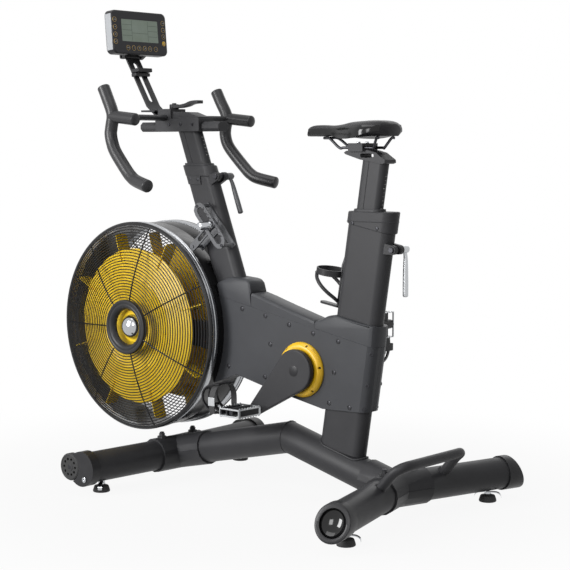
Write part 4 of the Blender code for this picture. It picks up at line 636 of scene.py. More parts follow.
rear_outward = (rear_point(-0.3) - rear_point(-0.2)).normalized()
up = Vector((0.0, 0.0, 1.0))
rear_turn = Matrix((up.cross(rear_outward) * -1.0, -up, rear_outward)).transposed().to_4x4()
rear_place = Matrix.Translation(rear_point(-REAR_TUBE_HALF)) @ rear_turn
for side_name, side in SIDES:
    sleeve = slanted([(0.0408, 0.0004), (0.0408, -0.024), (0.0436, -0.024), (0.0440, -0.0235),
                      (0.0440, 0.0155), (0.0434, 0.0178),
                      (0.0415, 0.0190), (0.0332, 0.0190), (0.0320, 0.0180), (0.0320, 0.0070)], 72,
                     loop=True)
    piece("rear_" + side_name + "_cap", sided(placed(sleeve, rear_place), side), nylon, "frame",
          "black_plastic",
          "rear_" + side_name + "_end_cap")
    dish = [(0.0320 * math.sin(math.radians(a)),
             0.0170 - 0.0200 * math.cos(math.radians(a))) for a in range(90, -1, -6)]
    bowl = slanted([(0.0320, -0.0030)] + dish + [(0.0, -0.0050), (0.0320, -0.0050)], 72, foot=-1.0)
    piece("rear_" + side_name + "_bowl", sided(placed(bowl, rear_place), side), gloss_black, "frame",
          "black_plastic")

# Levelling feet: a black rubber puck on a plated screw, turned by a bright pressed wing.
WING_TURN = {"front": math.radians(-50.0), "rear": math.radians(30.0)}
FOOT_PLACE = {"front": (-0.27718, 0.272), "rear": (0.55866, 0.292)}
STEM_TOP = 0.0585
for end_name, (foot_x, foot_y) in FOOT_PLACE.items():
    for side_name, side in SIDES:
        body = "foot_" + end_name + "_" + side_name
        spot = Matrix.Translation((foot_x, side * foot_y, 0.0))
        puck = lathe([(0.0, 0.0), (0.0205, 0.0), (0.0222, 0.0012), (0.0225, 0.0035), (0.0212, 0.0085),
                      (0.0190, 0.0150),
                      (0.0176, 0.0166), (0.0090, 0.0186), (0.0085, 0.0205), (0.0, 0.0205)], 48)
        foot = piece(body + "_puck", placed(puck, spot), rubber, body, "rubber",
                     end_name + "_" + side_name + "_foot")
        stem = [(0.0, 0.0195), (0.0085, 0.0195), (0.0085, 0.0250), (0.0050, 0.0252)]
        for k in range(16):
            stem += [(0.0050, 0.026 + 0.002 * k), (0.0043, 0.027 + 0.002 * k)]
        stem += [(0.0044, STEM_TOP), (0.0, STEM_TOP)]
        piece(body + "_screw", placed(lathe(stem, 24), spot), chrome, body, "bright_steel")
        wing_path = smooth([(-0.0345, 0.0, 0.0110), (-0.0325, 0.0, 0.0185), (-0.0235, 0.0, 0.0240),
                            (-0.010, 0.0, 0.0250),
                            (0.010, 0.0, 0.0250), (0.0235, 0.0, 0.0240), (0.0325, 0.0, 0.0185),
                            (0.0345, 0.0, 0.0110)], 6)
        wing = []
        for index, point in enumerate(wing_path):
            wide = 0.0055 * (0.75 if index in (0, len(wing_path) - 1) else 1.0)
            wing.append([(point.x, -wide, point.z - 0.0011), (point.x, wide, point.z - 0.0011),
                         (point.x, wide, point.z + 0.0011), (point.x, -wide, point.z + 0.0011)])
        turn = spot @ Matrix.Rotation(WING_TURN[end_name], 4, "Z")
        piece(body + "_wing", placed(solid(wing), turn), chrome, body, "bright_steel", bevel=0.0005)

# Lift handle: one length of bent steel tube welded to the rear arms, coated with them.
HANDLE_HALF, HANDLE_RADIUS = 0.130, 0.0125
handle_x = rear_point(HANDLE_HALF).x
handle_half = [(handle_x + 0.012, HANDLE_HALF, BASE_HEIGHT + 0.020),
               (handle_x + 0.034, HANDLE_HALF, BASE_HEIGHT + 0.045),
               (handle_x + 0.058, HANDLE_HALF - 0.001, BASE_HEIGHT + 0.072),
               (handle_x + 0.074, HANDLE_HALF - 0.008, BASE_HEIGHT + 0.084),
               (handle_x + 0.083, HANDLE_HALF - 0.022, BASE_HEIGHT + 0.089),
               (handle_x + 0.086, HANDLE_HALF - 0.042, BASE_HEIGHT + 0.090),
               (handle_x + 0.086, HANDLE_HALF - 0.085, BASE_HEIGHT + 0.090)]
handle_path = [(x, -y, z) for x, y, z in handle_half] + handle_half[::-1]
piece("lift_bar", sweep(smooth(handle_path, 6), HANDLE_RADIUS, 28), powder_coat, "frame", "frame_paint",
      "lift_handle")
handle_beads = []
for side in (-1.0, 1.0):
    root = Vector((handle_x + 0.021, side * HANDLE_HALF, BASE_HEIGHT + 0.0325))
    along = Vector((0.034, 0.0, 0.047)).normalized()
    across = Vector((0.0, 1.0, 0.0))
    rise = along.cross(across)
    loop_points = []
    for i in range(28):
        angle = 2.0 * math.pi * i / 28
        flat = (math.cos(angle) * across + math.sin(angle) * rise) * (HANDLE_RADIUS + 0.0006)
        loop_points.append(root + flat)
    handle_beads.append(sweep(loop_points, [0.0022 + 0.0004 * math.sin(i * 2.6) for i in range(28)], 8,
                              loop=True))
piece("handle_welds", together(handle_beads), powder_coat, "frame", "frame_paint")

# Seat tube and head tube: flat-oval steel tubes with rolled edges, welded to the spine and the
# beam. Each has two welded lugs and a cross pin near its top for the lock lever.
SEAT_LEAN, HEAD_LEAN = math.radians(8.8), math.radians(-20.7)
SEAT = Matrix.Translation((0.32093, 0.0, 0.158)) @ Matrix.Rotation(SEAT_LEAN, 4, "Y")
HEAD = Matrix.Translation((-0.02307, 0.0, 0.456)) @ Matrix.Rotation(HEAD_LEAN, 4, "Y")
SEAT_DEPTH, SEAT_WIDTH, SEAT_LENGTH = 0.134, 0.048, 0.584
HEAD_DEPTH, HEAD_WIDTH, HEAD_LENGTH = 0.094, 0.042, 0.424
LUG_GAP, LUG_WIDTH = 0.007, 0.0125


def oval(length, width, count=22, shift=0.0):
    """A flat-oval outline, its length along local x."""
    run = (length - width) / 2.0
    return arc((shift - run, 0.0), width / 2.0, 90.0, 270.0, count) + arc((shift + run, 0.0), width / 2.0,
            -90.0, 90.0, count)


def block(low, high):
    """A rectangular block between two corners."""
    (ax, ay, az), (bx, by, bz) = low, high
    return solid([[(ax, ay, z), (bx, ay, z), (bx, by, z), (ax, by, z)] for z in (az, bz)])


def ring(outline, height, slope=0.0):
    """One cross-section of a column at a height; slope tips it along the column's depth."""
    return [(u, v, height + u * slope) for u, v in outline]


for tube_name, holder, lean, depth, width, start, length, lug_height in (
        ("seat_tube", SEAT, SEAT_LEAN, SEAT_DEPTH, SEAT_WIDTH, -0.012, SEAT_LENGTH - 0.002,
         SEAT_LENGTH - 0.068),
        ("head_tube", HEAD, HEAD_LEAN, HEAD_DEPTH, HEAD_WIDTH, 0.0, HEAD_LENGTH - 0.006,
         HEAD_LENGTH - 0.052)):
    section = oval(depth, width)
    column = solid([ring(section, start), ring(section, length, math.tan(lean))])
    piece(tube_name + "_shown", placed(column, holder), powder_coat, "frame", "frame_paint", tube_name)
    lugs = []
    for side in (-1.0, 1.0):
        lug_outline = [(depth / 2.0 - 0.014, lug_height - 0.016)] + \
            arc((depth / 2.0 + 0.013, lug_height), 0.0115, -90.0, 90.0,
                14) + [(depth / 2.0 - 0.014, lug_height + 0.012)]
        y_low, y_high = sorted((side * LUG_GAP, side * (LUG_GAP + LUG_WIDTH)))
        lug = prism(lug_outline, -y_high, -y_low)
        lugs.append(placed(lug, holder @ LEFTWARD))
    piece(tube_name + "_lugs", together(lugs), powder_coat, "frame", "frame_paint", bevel=0.0012)
    pin = lathe([(0.0, -0.0235), (0.0062, -0.0235), (0.0070, -0.0225), (0.0070, -0.0196), (0.005, -0.0196),
                 (0.005, 0.0490), (0.0042, 0.0500), (0.0, 0.0500)], 24)
    pin_place = holder @ Matrix.Translation((depth / 2.0 + 0.013, 0.0,
                                             lug_height)) @ Matrix.Rotation(-math.pi / 2.0, 4, "X")
    piece(tube_name + "_pin", placed(pin, pin_place), black_oxide, "frame", "grey_steel", bevel=0.0004)

# Weld where the seat tube stands on the spine: a bead that follows the tube's outline down onto
# the round spine, coated with both.
SPINE_SLOPE = (BASE_HEIGHT - BEND_HEIGHT) / (REAR_X - BEND_X)
foot_bead = []
for u, v in oval(SEAT_DEPTH + 0.003, SEAT_WIDTH + 0.003, 26):
    base = SEAT @ Vector((u, v, 0.0))
    axis_rise = BEND_HEIGHT + SPINE_SLOPE * (base.x - BEND_X)
    drop = math.sqrt(max(TUBE_RADIUS ** 2 - base.y ** 2, 0.0)) * math.sqrt(1.0 + SPINE_SLOPE ** 2)
    foot_bead.append(Vector((base.x, base.y, axis_rise + drop + 0.0008)))
foot_sizes = [0.0030 + 0.0005 * math.sin(i * 2.4) for i in range(len(foot_bead))]
piece("seat_tube_weld", sweep(foot_bead, foot_sizes, 8, loop=True), powder_coat, "frame", "frame_paint")

# Column collars: moulded nylon sleeves over the tube tops, each with a lipped mouth for the post
# and a pair of set screws that take up its play.
POST_DEPTH, POST_WIDTH, POST_SHIFT = 0.073, 0.032, -0.0135


def sleeve(depth, width, low, top, wall, lean, under, shift):
    """A flat-oval sleeve with a level top, a tipped lower edge and a low lip round the post's mouth."""
    level = math.tan(lean)
    rings = [ring(oval(depth + 2.0 * (wall - 0.0012), width + 2.0 * (wall - 0.0012)), low, under)]
    full = oval(depth + 2.0 * wall, width + 2.0 * wall)
    rings += [ring(full, low + 0.0015, under), ring(full, top - 0.0022, level)]
    rings.append(ring(oval(depth + 2.0 * wall - 0.0044, width + 2.0 * wall - 0.0044), top, level))
    for grow, height in ((0.0075, top), (0.0066, top + 0.0052), (0.0058, top + 0.0060),
                         (0.0030, top + 0.0060),
                         (0.0022, top + 0.0048)):
        rings.append(ring(oval(POST_DEPTH + 2.0 * grow, POST_WIDTH + 2.0 * grow * 0.72, shift=shift),
                          height, level))
    rings.append(ring(oval(POST_DEPTH + 0.0044, POST_WIDTH + 0.0030, shift=shift), low, under))
    return solid(rings, loop=True)


SEAT_COLLAR_LOW, SEAT_COLLAR_TOP, SEAT_COLLAR_WALL = SEAT_LENGTH - 0.029, SEAT_LENGTH + 0.012, 0.0045
HEAD_COLLAR_LOW, HEAD_COLLAR_TOP, HEAD_COLLAR_WALL = HEAD_LENGTH - 0.029, HEAD_LENGTH + 0.002, 0.0035
seat_sleeve = sleeve(SEAT_DEPTH, SEAT_WIDTH, SEAT_COLLAR_LOW, SEAT_COLLAR_TOP, SEAT_COLLAR_WALL, SEAT_LEAN,
                     -0.0385, POST_SHIFT)
piece("seat_collar", placed(seat_sleeve, SEAT), powder_coat, "frame", "black_plastic", "seat_tube_collar")
head_sleeve = sleeve(HEAD_DEPTH, HEAD_WIDTH, HEAD_COLLAR_LOW, HEAD_COLLAR_TOP, HEAD_COLLAR_WALL, HEAD_LEAN,
                     math.tan(HEAD_LEAN), 0.0)
piece("head_collar", placed(head_sleeve, HEAD), powder_coat, "frame", "black_plastic", "head_tube_collar")
# A raised line runs level round the seat collar above its apron; a wear plate hangs from the head collar.
band_line = []
for u, v in oval(SEAT_DEPTH + 2.0 * SEAT_COLLAR_WALL, SEAT_WIDTH + 2.0 * SEAT_COLLAR_WALL, 22):
    band_line.append(SEAT @ Vector((u, v, SEAT_COLLAR_LOW + 0.016 + u * math.tan(SEAT_LEAN))))
piece("seat_collar_band", sweep(band_line, 0.0011, 8, loop=True), powder_coat, "frame", "black_plastic")
plates = []
for side in (-1.0, 1.0):
    face = HEAD_WIDTH / 2.0
    y_low, y_high = sorted((side * (face - 0.001), side * (face + 0.0030)))
    wear_outline = [(-0.036, HEAD_COLLAR_LOW - 0.010), (0.006, HEAD_COLLAR_LOW - 0.026),
                    (0.012, HEAD_COLLAR_LOW + 0.002),
                    (-0.036, HEAD_COLLAR_LOW + 0.018)]
    plates.append(placed(prism(wear_outline, -y_high, -y_low), HEAD @ LEFTWARD))
piece("head_collar_plates", together(plates), powder_coat, "frame", "black_plastic", bevel=0.0006)
set_screws = []
for holder, spots, face in ((SEAT, ((-0.040, SEAT_COLLAR_LOW + 0.0055), (0.036, SEAT_COLLAR_LOW + 0.006)),
                             SEAT_WIDTH / 2.0 + SEAT_COLLAR_WALL),
                            (HEAD, ((-0.026, HEAD_COLLAR_LOW + 0.002), (0.000, HEAD_COLLAR_LOW - 0.009)),
                             HEAD_WIDTH / 2.0 + 0.0022)):
    for u, height in spots:
        for side in (-1.0, 1.0):
            place = holder @ facing((u, side * (face - 0.0006), height), (0.0, side, 0.0))
            set_screws.append(placed(screw(0.0042, 0.0022, 0.0022), place))
piece("collar_screws", together(set_screws), black_oxide, "frame", "grey_steel", bevel=0.0002)

# Lock levers: a bright zinc hub on the cross pin with a bent handle that hangs beside the column.
satin_zinc, zinc_tree, zinc_shader = material("satin_zinc_plate", "#b9bbbd", 0.30, 1.0)
zinc_place = add(zinc_tree, "ShaderNodeTexCoord")
zinc_cloud = add(zinc_tree, "ShaderNodeTexNoise", {"Scale": per_metre(4.0), "Detail": 3.0},
                 {"Vector": zinc_place.outputs["Object"]})
zinc_rough = add(zinc_tree, "ShaderNodeMapRange", {"To Min": 0.22, "To Max": 0.40},
                 {"Value": zinc_cloud.outputs["Fac"]})
zinc_tree.links.new(zinc_rough.outputs[0], zinc_shader.inputs["Roughness"])
grey_coat, grey_tree, grey_shader = material("grey_coated_steel", "#4b4c4f", 0.40, IOR=1.5)
grey_place = add(grey_tree, "ShaderNodeTexCoord")
grey_cloud = add(grey_tree, "ShaderNodeTexNoise", {"Scale": per_metre(7.0), "Detail": 3.0},
                 {"Vector": grey_place.outputs["Object"]})
grey_tint = add(grey_tree, "ShaderNodeMix", {"data_type": "RGBA", 6: linear("#444548"),
                                             7: linear("#57585b")},
                {0: grey_cloud.outputs["Fac"]})
grey_tree.links.new(grey_tint.outputs[2], grey_shader.inputs["Base Color"])
for lever_name, pivot, direction, length, finish, slot in (
        ("seat_lock", (0.478929, 0.0, 0.655687), (-0.01, 0.0, -1.0), 0.118, satin_zinc, "bright_steel"),
        ("head_lock", (-0.098436, 0.0, 0.825194), (0.36, 0.0, -1.0), 0.105, grey_coat, "grey_steel")):
    pivot, direction = Vector(pivot), Vector(direction).normalized()
    hub = lathe([(0.0056, 0.0200), (0.0090, 0.0200), (0.0094, 0.0212), (0.0094, 0.0420), (0.0086, 0.0440),
                 (0.0056, 0.0440)], 32, loop=True)
    root = pivot + Vector((0.0, 0.035, 0.0))
    arm_path = smooth([root + direction * 0.002, root + direction * 0.020 + Vector((0.0, 0.004, 0.0)),
                       root + direction * 0.045 + Vector((0.0, 0.0046, 0.0)),
                       root + direction * length + Vector((0.0, 0.006, 0.0))], 8)
    arm_sizes = [0.0046 + 0.0024 * min(1.0, i / 20.0) ** 1.5 for i in range(len(arm_path))]
    handle = sweep(arm_path, arm_sizes, 20, ends=0.004)
    hub_place = Matrix.Translation(pivot) @ Matrix.Rotation(-math.pi / 2.0, 4, "X")
    piece(lever_name + "_lever_shown", together([placed(hub, hub_place), handle]), finish, lever_name, slot,
          lever_name + "_lever")

# Side and top covers: moulded ABS shells screwed to the beam from both sides. The mould was
# spark-eroded, so the skin is an even satin with a fine grain.
ABS_COLOUR, ABS_LIGHT = "#323336", "#3c3d40"
ABS_GRAIN_MM = 1.8
textured_abs, abs_tree, abs_shader = material("charcoal_textured_abs", ABS_COLOUR, 0.44, IOR=1.54,
                                              Specular_IOR_Level=0.2)
abs_place = add(abs_tree, "ShaderNodeTexCoord")
abs_cloud = add(abs_tree, "ShaderNodeTexNoise", {"Scale": per_metre(70.0), "Detail": 2.0},
                {"Vector": abs_place.outputs["Object"]})
abs_tint = add(abs_tree, "ShaderNodeMix", {"data_type": "RGBA", 6: linear(ABS_COLOUR),
                                           7: linear(ABS_LIGHT)},
               {0: abs_cloud.outputs["Fac"]})
abs_tree.links.new(abs_tint.outputs[2], abs_shader.inputs["Base Color"])
abs_grain = add(abs_tree, "ShaderNodeTexNoise", {"Scale": per_metre(ABS_GRAIN_MM), "Detail": 3.0},
                {"Vector": abs_place.outputs["Object"]})
abs_bump = add(abs_tree, "ShaderNodeBump", {"Strength": 0.16, "Distance": 0.0003},
               {"Height": abs_grain.outputs["Fac"]})
abs_tree.links.new(abs_bump.outputs[0], abs_shader.inputs["Normal"])
for cover in ("left_cover", "right_cover", "top_cover", "head_joint_cover", "seat_joint_cover"):
    dressed(cover, textured_abs, 0.0013, 30.0)

# Cover screws: black cross-head screws sunk in shallow round wells along the edges of each shell.
COVER_FACE = 0.032
COVER_SCREWS = ((0.0065, 0.4833), (0.0865, 0.4703), (0.1665, 0.4533), (0.2455, 0.4373), (0.3265, 0.4233),
                (0.3135, 0.3453),
                (0.2975, 0.2663), (0.3625, 0.2620), (0.1035, 0.3983), (0.0845, 0.3113), (-0.0425, 0.3283),
                (-0.0705, 0.4323))
REAR_SCREWS = ((0.4290, 0.3995), (0.4180, 0.3205), (0.4075, 0.2620))
cover_screws = []
screw_wells = []
for side in (-1.0, 1.0):
    for x, z in COVER_SCREWS:
        place = facing((x, side * COVER_FACE, z), (0.0, side, 0.0))
        screw_wells.append(placed(lathe([(0.0048, -0.0012), (0.0062, -0.0012), (0.0066, 0.0003),
                                         (0.0060, 0.0007), (0.0052, 0.0003),
                                         (0.0048, -0.0006)], 24, loop=True), place))
        cover_screws.append(placed(screw(0.0049, 0.0016, 0.0022),
                                   place @ Matrix.Translation((0.0, 0.0, -0.0011))))
    for x, z in REAR_SCREWS:
        place = facing((x - 0.0050, side * 0.0255, z), (0.55, side * 0.83, 0.0))
        cover_screws.append(placed(screw(0.0050, 0.0042, 0.0024), place))
piece("cover_screw_wells", together(screw_wells), nylon, "frame", "cover_plastic")
piece("cover_screws", together(cover_screws), black_oxide, "frame", "grey_steel", bevel=0.0002)

# Beam and belt: a welded steel plate with the bearings, and a ribbed rubber belt behind the covers.
dressed("main_beam", powder_coat, 0.0)
dressed("drive_belt", rubber, 0.0)

# Fan case: a rolled steel band, enamelled black, between two bright rolled aluminium rims.
FAN = Matrix.Translation((-0.33907, 0.0, 0.417))
CASE_RADIUS, CASE_HALF, CASE_WALL = 0.280, 0.080, 0.0055
RIM_WIDTH, RIM_RISE = 0.026, 0.0035
bright_rim, rim_tree, rim_shader = material("brushed_aluminium_rim", "#adafb2", 0.30, 1.0)
rim_place = add(rim_tree, "ShaderNodeTexCoord")
rim_stretch = add(rim_tree, "ShaderNodeMapping", {"Scale": (60.0, 900.0, 60.0)},
                  {"Vector": rim_place.outputs["Object"]})
rim_lines = add(rim_tree, "ShaderNodeTexNoise", {"Scale": 1.0, "Detail": 2.0},
                {"Vector": rim_stretch.outputs[0]})
rim_rough = add(rim_tree, "ShaderNodeMapRange", {"To Min": 0.20, "To Max": 0.36},
                {"Value": rim_lines.outputs["Fac"]})
rim_tree.links.new(rim_rough.outputs[0], rim_shader.inputs["Roughness"])
black_enamel, enamel_tree, enamel_shader = material("black_enamelled_steel", "#131314", 0.30, IOR=1.5,
                                                    Specular_IOR_Level=0.3)
enamel_place = add(enamel_tree, "ShaderNodeTexCoord")
enamel_cloud = add(enamel_tree, "ShaderNodeTexNoise", {"Scale": per_metre(25.0), "Detail": 2.0},
                   {"Vector": enamel_place.outputs["Object"]})
enamel_rough = add(enamel_tree, "ShaderNodeMapRange", {"To Min": 0.22, "To Max": 0.36},
                   {"Value": enamel_cloud.outputs["Fac"]})
enamel_tree.links.new(enamel_rough.outputs[0], enamel_shader.inputs["Roughness"])
inner = CASE_RADIUS - CASE_WALL
band_half = CASE_HALF - RIM_WIDTH
band = lathe([(inner, -band_half - 0.004), (CASE_RADIUS, -band_half - 0.004), (CASE_RADIUS, -0.004),
              (CASE_RADIUS - 0.0008, -0.002),
              (CASE_RADIUS - 0.0008, 0.002), (CASE_RADIUS, 0.004), (CASE_RADIUS, band_half + 0.004),
              (inner, band_half + 0.004)], 160, loop=True)
ACROSS = Matrix.Rotation(-math.pi / 2.0, 4, "X")
piece("fan_case_band", placed(band, FAN @ ACROSS), black_enamel, "frame", "black_plastic", "fan_shroud")
rim_out = CASE_RADIUS + RIM_RISE
rim_profile = [(inner, band_half), (rim_out - 0.0022, band_half), (rim_out, band_half + 0.003),
               (rim_out, band_half + 0.0105),
               (rim_out - 0.0012, band_half + 0.0120), (rim_out - 0.0012, band_half + 0.0140),
               (rim_out, band_half + 0.0155),
               (rim_out, CASE_HALF - 0.004), (rim_out - 0.0015, CASE_HALF - 0.0012),
               (rim_out - 0.0045, CASE_HALF), (inner, CASE_HALF)]
for side_name, side in SIDES:
    rim = placed(lathe(rim_profile, 160, loop=True), FAN @ LEFTWARD)
    piece("fan_case_rim_" + side_name, sided(rim, side), bright_rim, "frame", "bright_steel")

# Wire guards: close rings of drawn steel wire welded to seven spokes on a shallow dome, black
# enamelled, with a moulded ring at the centre that leaves the shaft's dome in view.
GUARD_DEPTH, GUARD_HUB = 0.041, 0.073
WIRE_PITCH, WIRE_RADIUS = 0.0076, 0.00145
SPOKES = 7
GUARD_BASE = CASE_HALF + 0.0018


def guard_height(radius):
    """How far the guard stands out beyond the case at this radius."""
    part = max((radius - GUARD_HUB) / (CASE_RADIUS - GUARD_HUB), 0.0)
    return GUARD_BASE + GUARD_DEPTH * (1.0 - part ** 2)


for side_name, side in SIDES:
    wires = []
    wire_count = int((CASE_RADIUS - 0.004 - GUARD_HUB) / WIRE_PITCH)
    for k in range(1, wire_count + 1):
        radius = GUARD_HUB + WIRE_PITCH * k
        height = guard_height(radius)
        turns = [math.radians(90.0 * q + 45.0) for q in range(4)] if side > 0.0 else [2.0 * math.pi * q / 6
                for q in range(6)]
        wires.append(lathe([(radius + WIRE_RADIUS * math.cos(t),
                             height + WIRE_RADIUS * math.sin(t)) for t in turns], 120, loop=True))
    for k in range(SPOKES):
        angle = 2.0 * math.pi * (k + 0.525) / SPOKES
        path = []
        for step in range(15):
            radius = GUARD_HUB - 0.003 + (CASE_RADIUS - GUARD_HUB + 0.001) * step / 14
            height = guard_height(radius) - WIRE_RADIUS - 0.0012
            path.append((radius * math.cos(angle), radius * math.sin(angle),
                         max(height, CASE_HALF - 0.001)))
        wires.append(sweep(path, 0.0019, 8))
    wires.append(lathe([(inner, CASE_HALF - 0.0005), (rim_out, CASE_HALF - 0.0030),
                        (rim_out + 0.0004, CASE_HALF + 0.0008),
                        (rim_out - 0.0030, CASE_HALF + 0.0042), (inner, CASE_HALF + 0.0046)], 160,
                       loop=True))
    guard = placed(together(wires), FAN @ LEFTWARD)
    piece(side_name + "_wire_guard", sided(guard, side), black_enamel, "frame", "wire_paint",
          side_name + "_grille")
    top = guard_height(GUARD_HUB)
    hub_ring = lathe([(0.0735, top - 0.010), (0.0745, top - 0.006), (0.0745, top - 0.001),
                      (0.0725, top + 0.0018), (0.0690, top + 0.0026),
                      (0.0655, top + 0.0020), (0.0640, top + 0.0006), (0.0610, top + 0.0004),
                      (0.0590, top + 0.0016), (0.0560, top + 0.0012),
                      (0.0525, top - 0.0015), (0.0495, top - 0.0060), (0.0480, top - 0.0110),
                      (0.0480, top - 0.0150), (0.0510, top - 0.0150),
                      (0.0560, top - 0.0080)], 96, loop=True)
    piece(side_name + "_guard_hub", sided(placed(hub_ring, FAN @ LEFTWARD), side), nylon, "frame",
          "black_plastic")

# Fan wheel: two pressed discs with eight flat blades each, stove-enamelled yellow, on one shaft
# whose ends are covered by polished domes.
YELLOW_DEEP, YELLOW_LIGHT = "#deb507", "#e9c41c"
yellow_enamel, yellow_tree, yellow_shader = material("yellow_enamelled_steel", YELLOW_DEEP, 0.36, IOR=1.5)
yellow_place = add(yellow_tree, "ShaderNodeTexCoord")
yellow_cloud = add(yellow_tree, "ShaderNodeTexNoise", {"Scale": per_metre(40.0), "Detail": 3.0},
                   {"Vector": yellow_place.outputs["Object"]})
yellow_tint = add(yellow_tree, "ShaderNodeMix",
                  {"data_type": "RGBA", 6: linear(YELLOW_DEEP), 7: linear(YELLOW_LIGHT)},
                  {0: yellow_cloud.outputs["Fac"]})
yellow_tree.links.new(yellow_tint.outputs[2], yellow_shader.inputs["Base Color"])
yellow_grit = add(yellow_tree, "ShaderNodeTexNoise", {"Scale": per_metre(2.0)},
                  {"Vector": yellow_place.outputs["Object"]})
yellow_bump = add(yellow_tree, "ShaderNodeBump", {"Strength": 0.08, "Distance": 0.0003},
                  {"Height": yellow_grit.outputs["Fac"]})
yellow_tree.links.new(yellow_bump.outputs[0], yellow_shader.inputs["Normal"])
DISC_RADIUS, DISC_OFFSET = 0.211, 0.080
BLADES, BLADE_TIP, BLADE_IN, BLADE_OUT = 8, 0.258, 0.043, 0.085
CAP_OFFSET = CASE_HALF + 0.014
for side_name, side in SIDES:
    disc = lathe([(0.0103, DISC_OFFSET - 0.0135), (0.0103, CAP_OFFSET - 0.0003),
                  (0.0425, CAP_OFFSET - 0.0003), (0.0440, CAP_OFFSET - 0.0020),
                  (0.0440, DISC_OFFSET + 0.0040), (0.0470, DISC_OFFSET + 0.0015),
                  (0.118, DISC_OFFSET + 0.0015), (0.121, DISC_OFFSET + 0.0026),
                  (0.124, DISC_OFFSET + 0.0015), (DISC_RADIUS - 0.003, DISC_OFFSET + 0.0015),
                  (DISC_RADIUS, DISC_OFFSET),
                  (DISC_RADIUS, DISC_OFFSET - 0.0015), (0.036, DISC_OFFSET - 0.0015),
                  (0.030, DISC_OFFSET - 0.0135)], 128, loop=True)
    parts = [placed(disc, LEFTWARD)]
    for k in range(BLADES):
        turn = Matrix.Rotation(-math.radians(17.0 + 360.0 * k / BLADES), 4, "Y")
        outline = [(DISC_RADIUS - 0.030, -BLADE_OUT), (DISC_RADIUS - 0.030, -BLADE_IN)] + \
            arc((BLADE_TIP - 0.008, -BLADE_IN - 0.008), 0.008, 90.0, 0.0,
                6) + arc((BLADE_TIP - 0.008, -BLADE_OUT + 0.008), 0.008, 0.0, -90.0, 6)
        blade = prism(outline, -0.00125, 0.00125)
        parts.append(placed(blade, turn))
    wheel = sided(together(parts), side)
    piece(side_name + "_fan_wheel", placed(wheel, FAN), yellow_enamel, "fan", "yellow_metal",
          side_name + "_fan")
dome = [(0.0, CAP_OFFSET + 0.0280), (0.006, CAP_OFFSET + 0.0276), (0.012, CAP_OFFSET + 0.0263),
        (0.018, CAP_OFFSET + 0.0240),
        (0.0235, CAP_OFFSET + 0.0205), (0.028, CAP_OFFSET + 0.0160), (0.031, CAP_OFFSET + 0.0110),
        (0.0326, CAP_OFFSET + 0.0060),
        (0.033, CAP_OFFSET + 0.0020), (0.033, CAP_OFFSET), (0.010, CAP_OFFSET)]
shaft = [(r, -h) for r, h in dome] + [(0.010, 0.001), (0.0175, 0.001), (0.0175, 0.002), (0.0145, 0.002),
                                      (0.0145, 0.0155), (0.0175, 0.0155),
                                      (0.0175, 0.0165), (0.010, 0.0165)] + dome[::-1]
piece("fan_shaft", placed(lathe(shaft, 72), FAN @ ACROSS), chrome, "fan", "bright_steel", "fan_axle")

# Crank rings: yellow moulded ABS collars screwed to the covers, with a sloping face, ribbed
# stretches for grip in the mould, and screws sunk in slots.
CRANK = Matrix.Translation((0.21063, 0.0, 0.343))
RING_BASE, RING_FACE = 0.0323, 0.0468
yellow_abs, ring_tree, ring_shader = material("yellow_moulded_abs", "#dcae12", 0.38, IOR=1.54)
ring_place = add(ring_tree, "ShaderNodeTexCoord")
ring_cloud = add(ring_tree, "ShaderNodeTexNoise", {"Scale": per_metre(18.0), "Detail": 2.0},
                 {"Vector": ring_place.outputs["Object"]})
ring_tint = add(ring_tree, "ShaderNodeMix", {"data_type": "RGBA", 6: linear("#d8a90c"),
                                             7: linear("#e6bb2a")},
                {0: ring_cloud.outputs["Fac"]})
ring_tree.links.new(ring_tint.outputs[2], ring_shader.inputs["Base Color"])
ring_grain = add(ring_tree, "ShaderNodeTexNoise", {"Scale": per_metre(1.8)},
                 {"Vector": ring_place.outputs["Object"]})
ring_bump = add(ring_tree, "ShaderNodeBump", {"Strength": 0.10, "Distance": 0.0003},
                {"Height": ring_grain.outputs["Fac"]})
ring_tree.links.new(ring_bump.outputs[0], ring_shader.inputs["Normal"])
RING_SCREWS = 6
RIB_STEP = math.radians(3.6)
slope_low, slope_high = (0.0700, RING_BASE + 0.0050), (0.0630, RING_FACE - 0.0006)
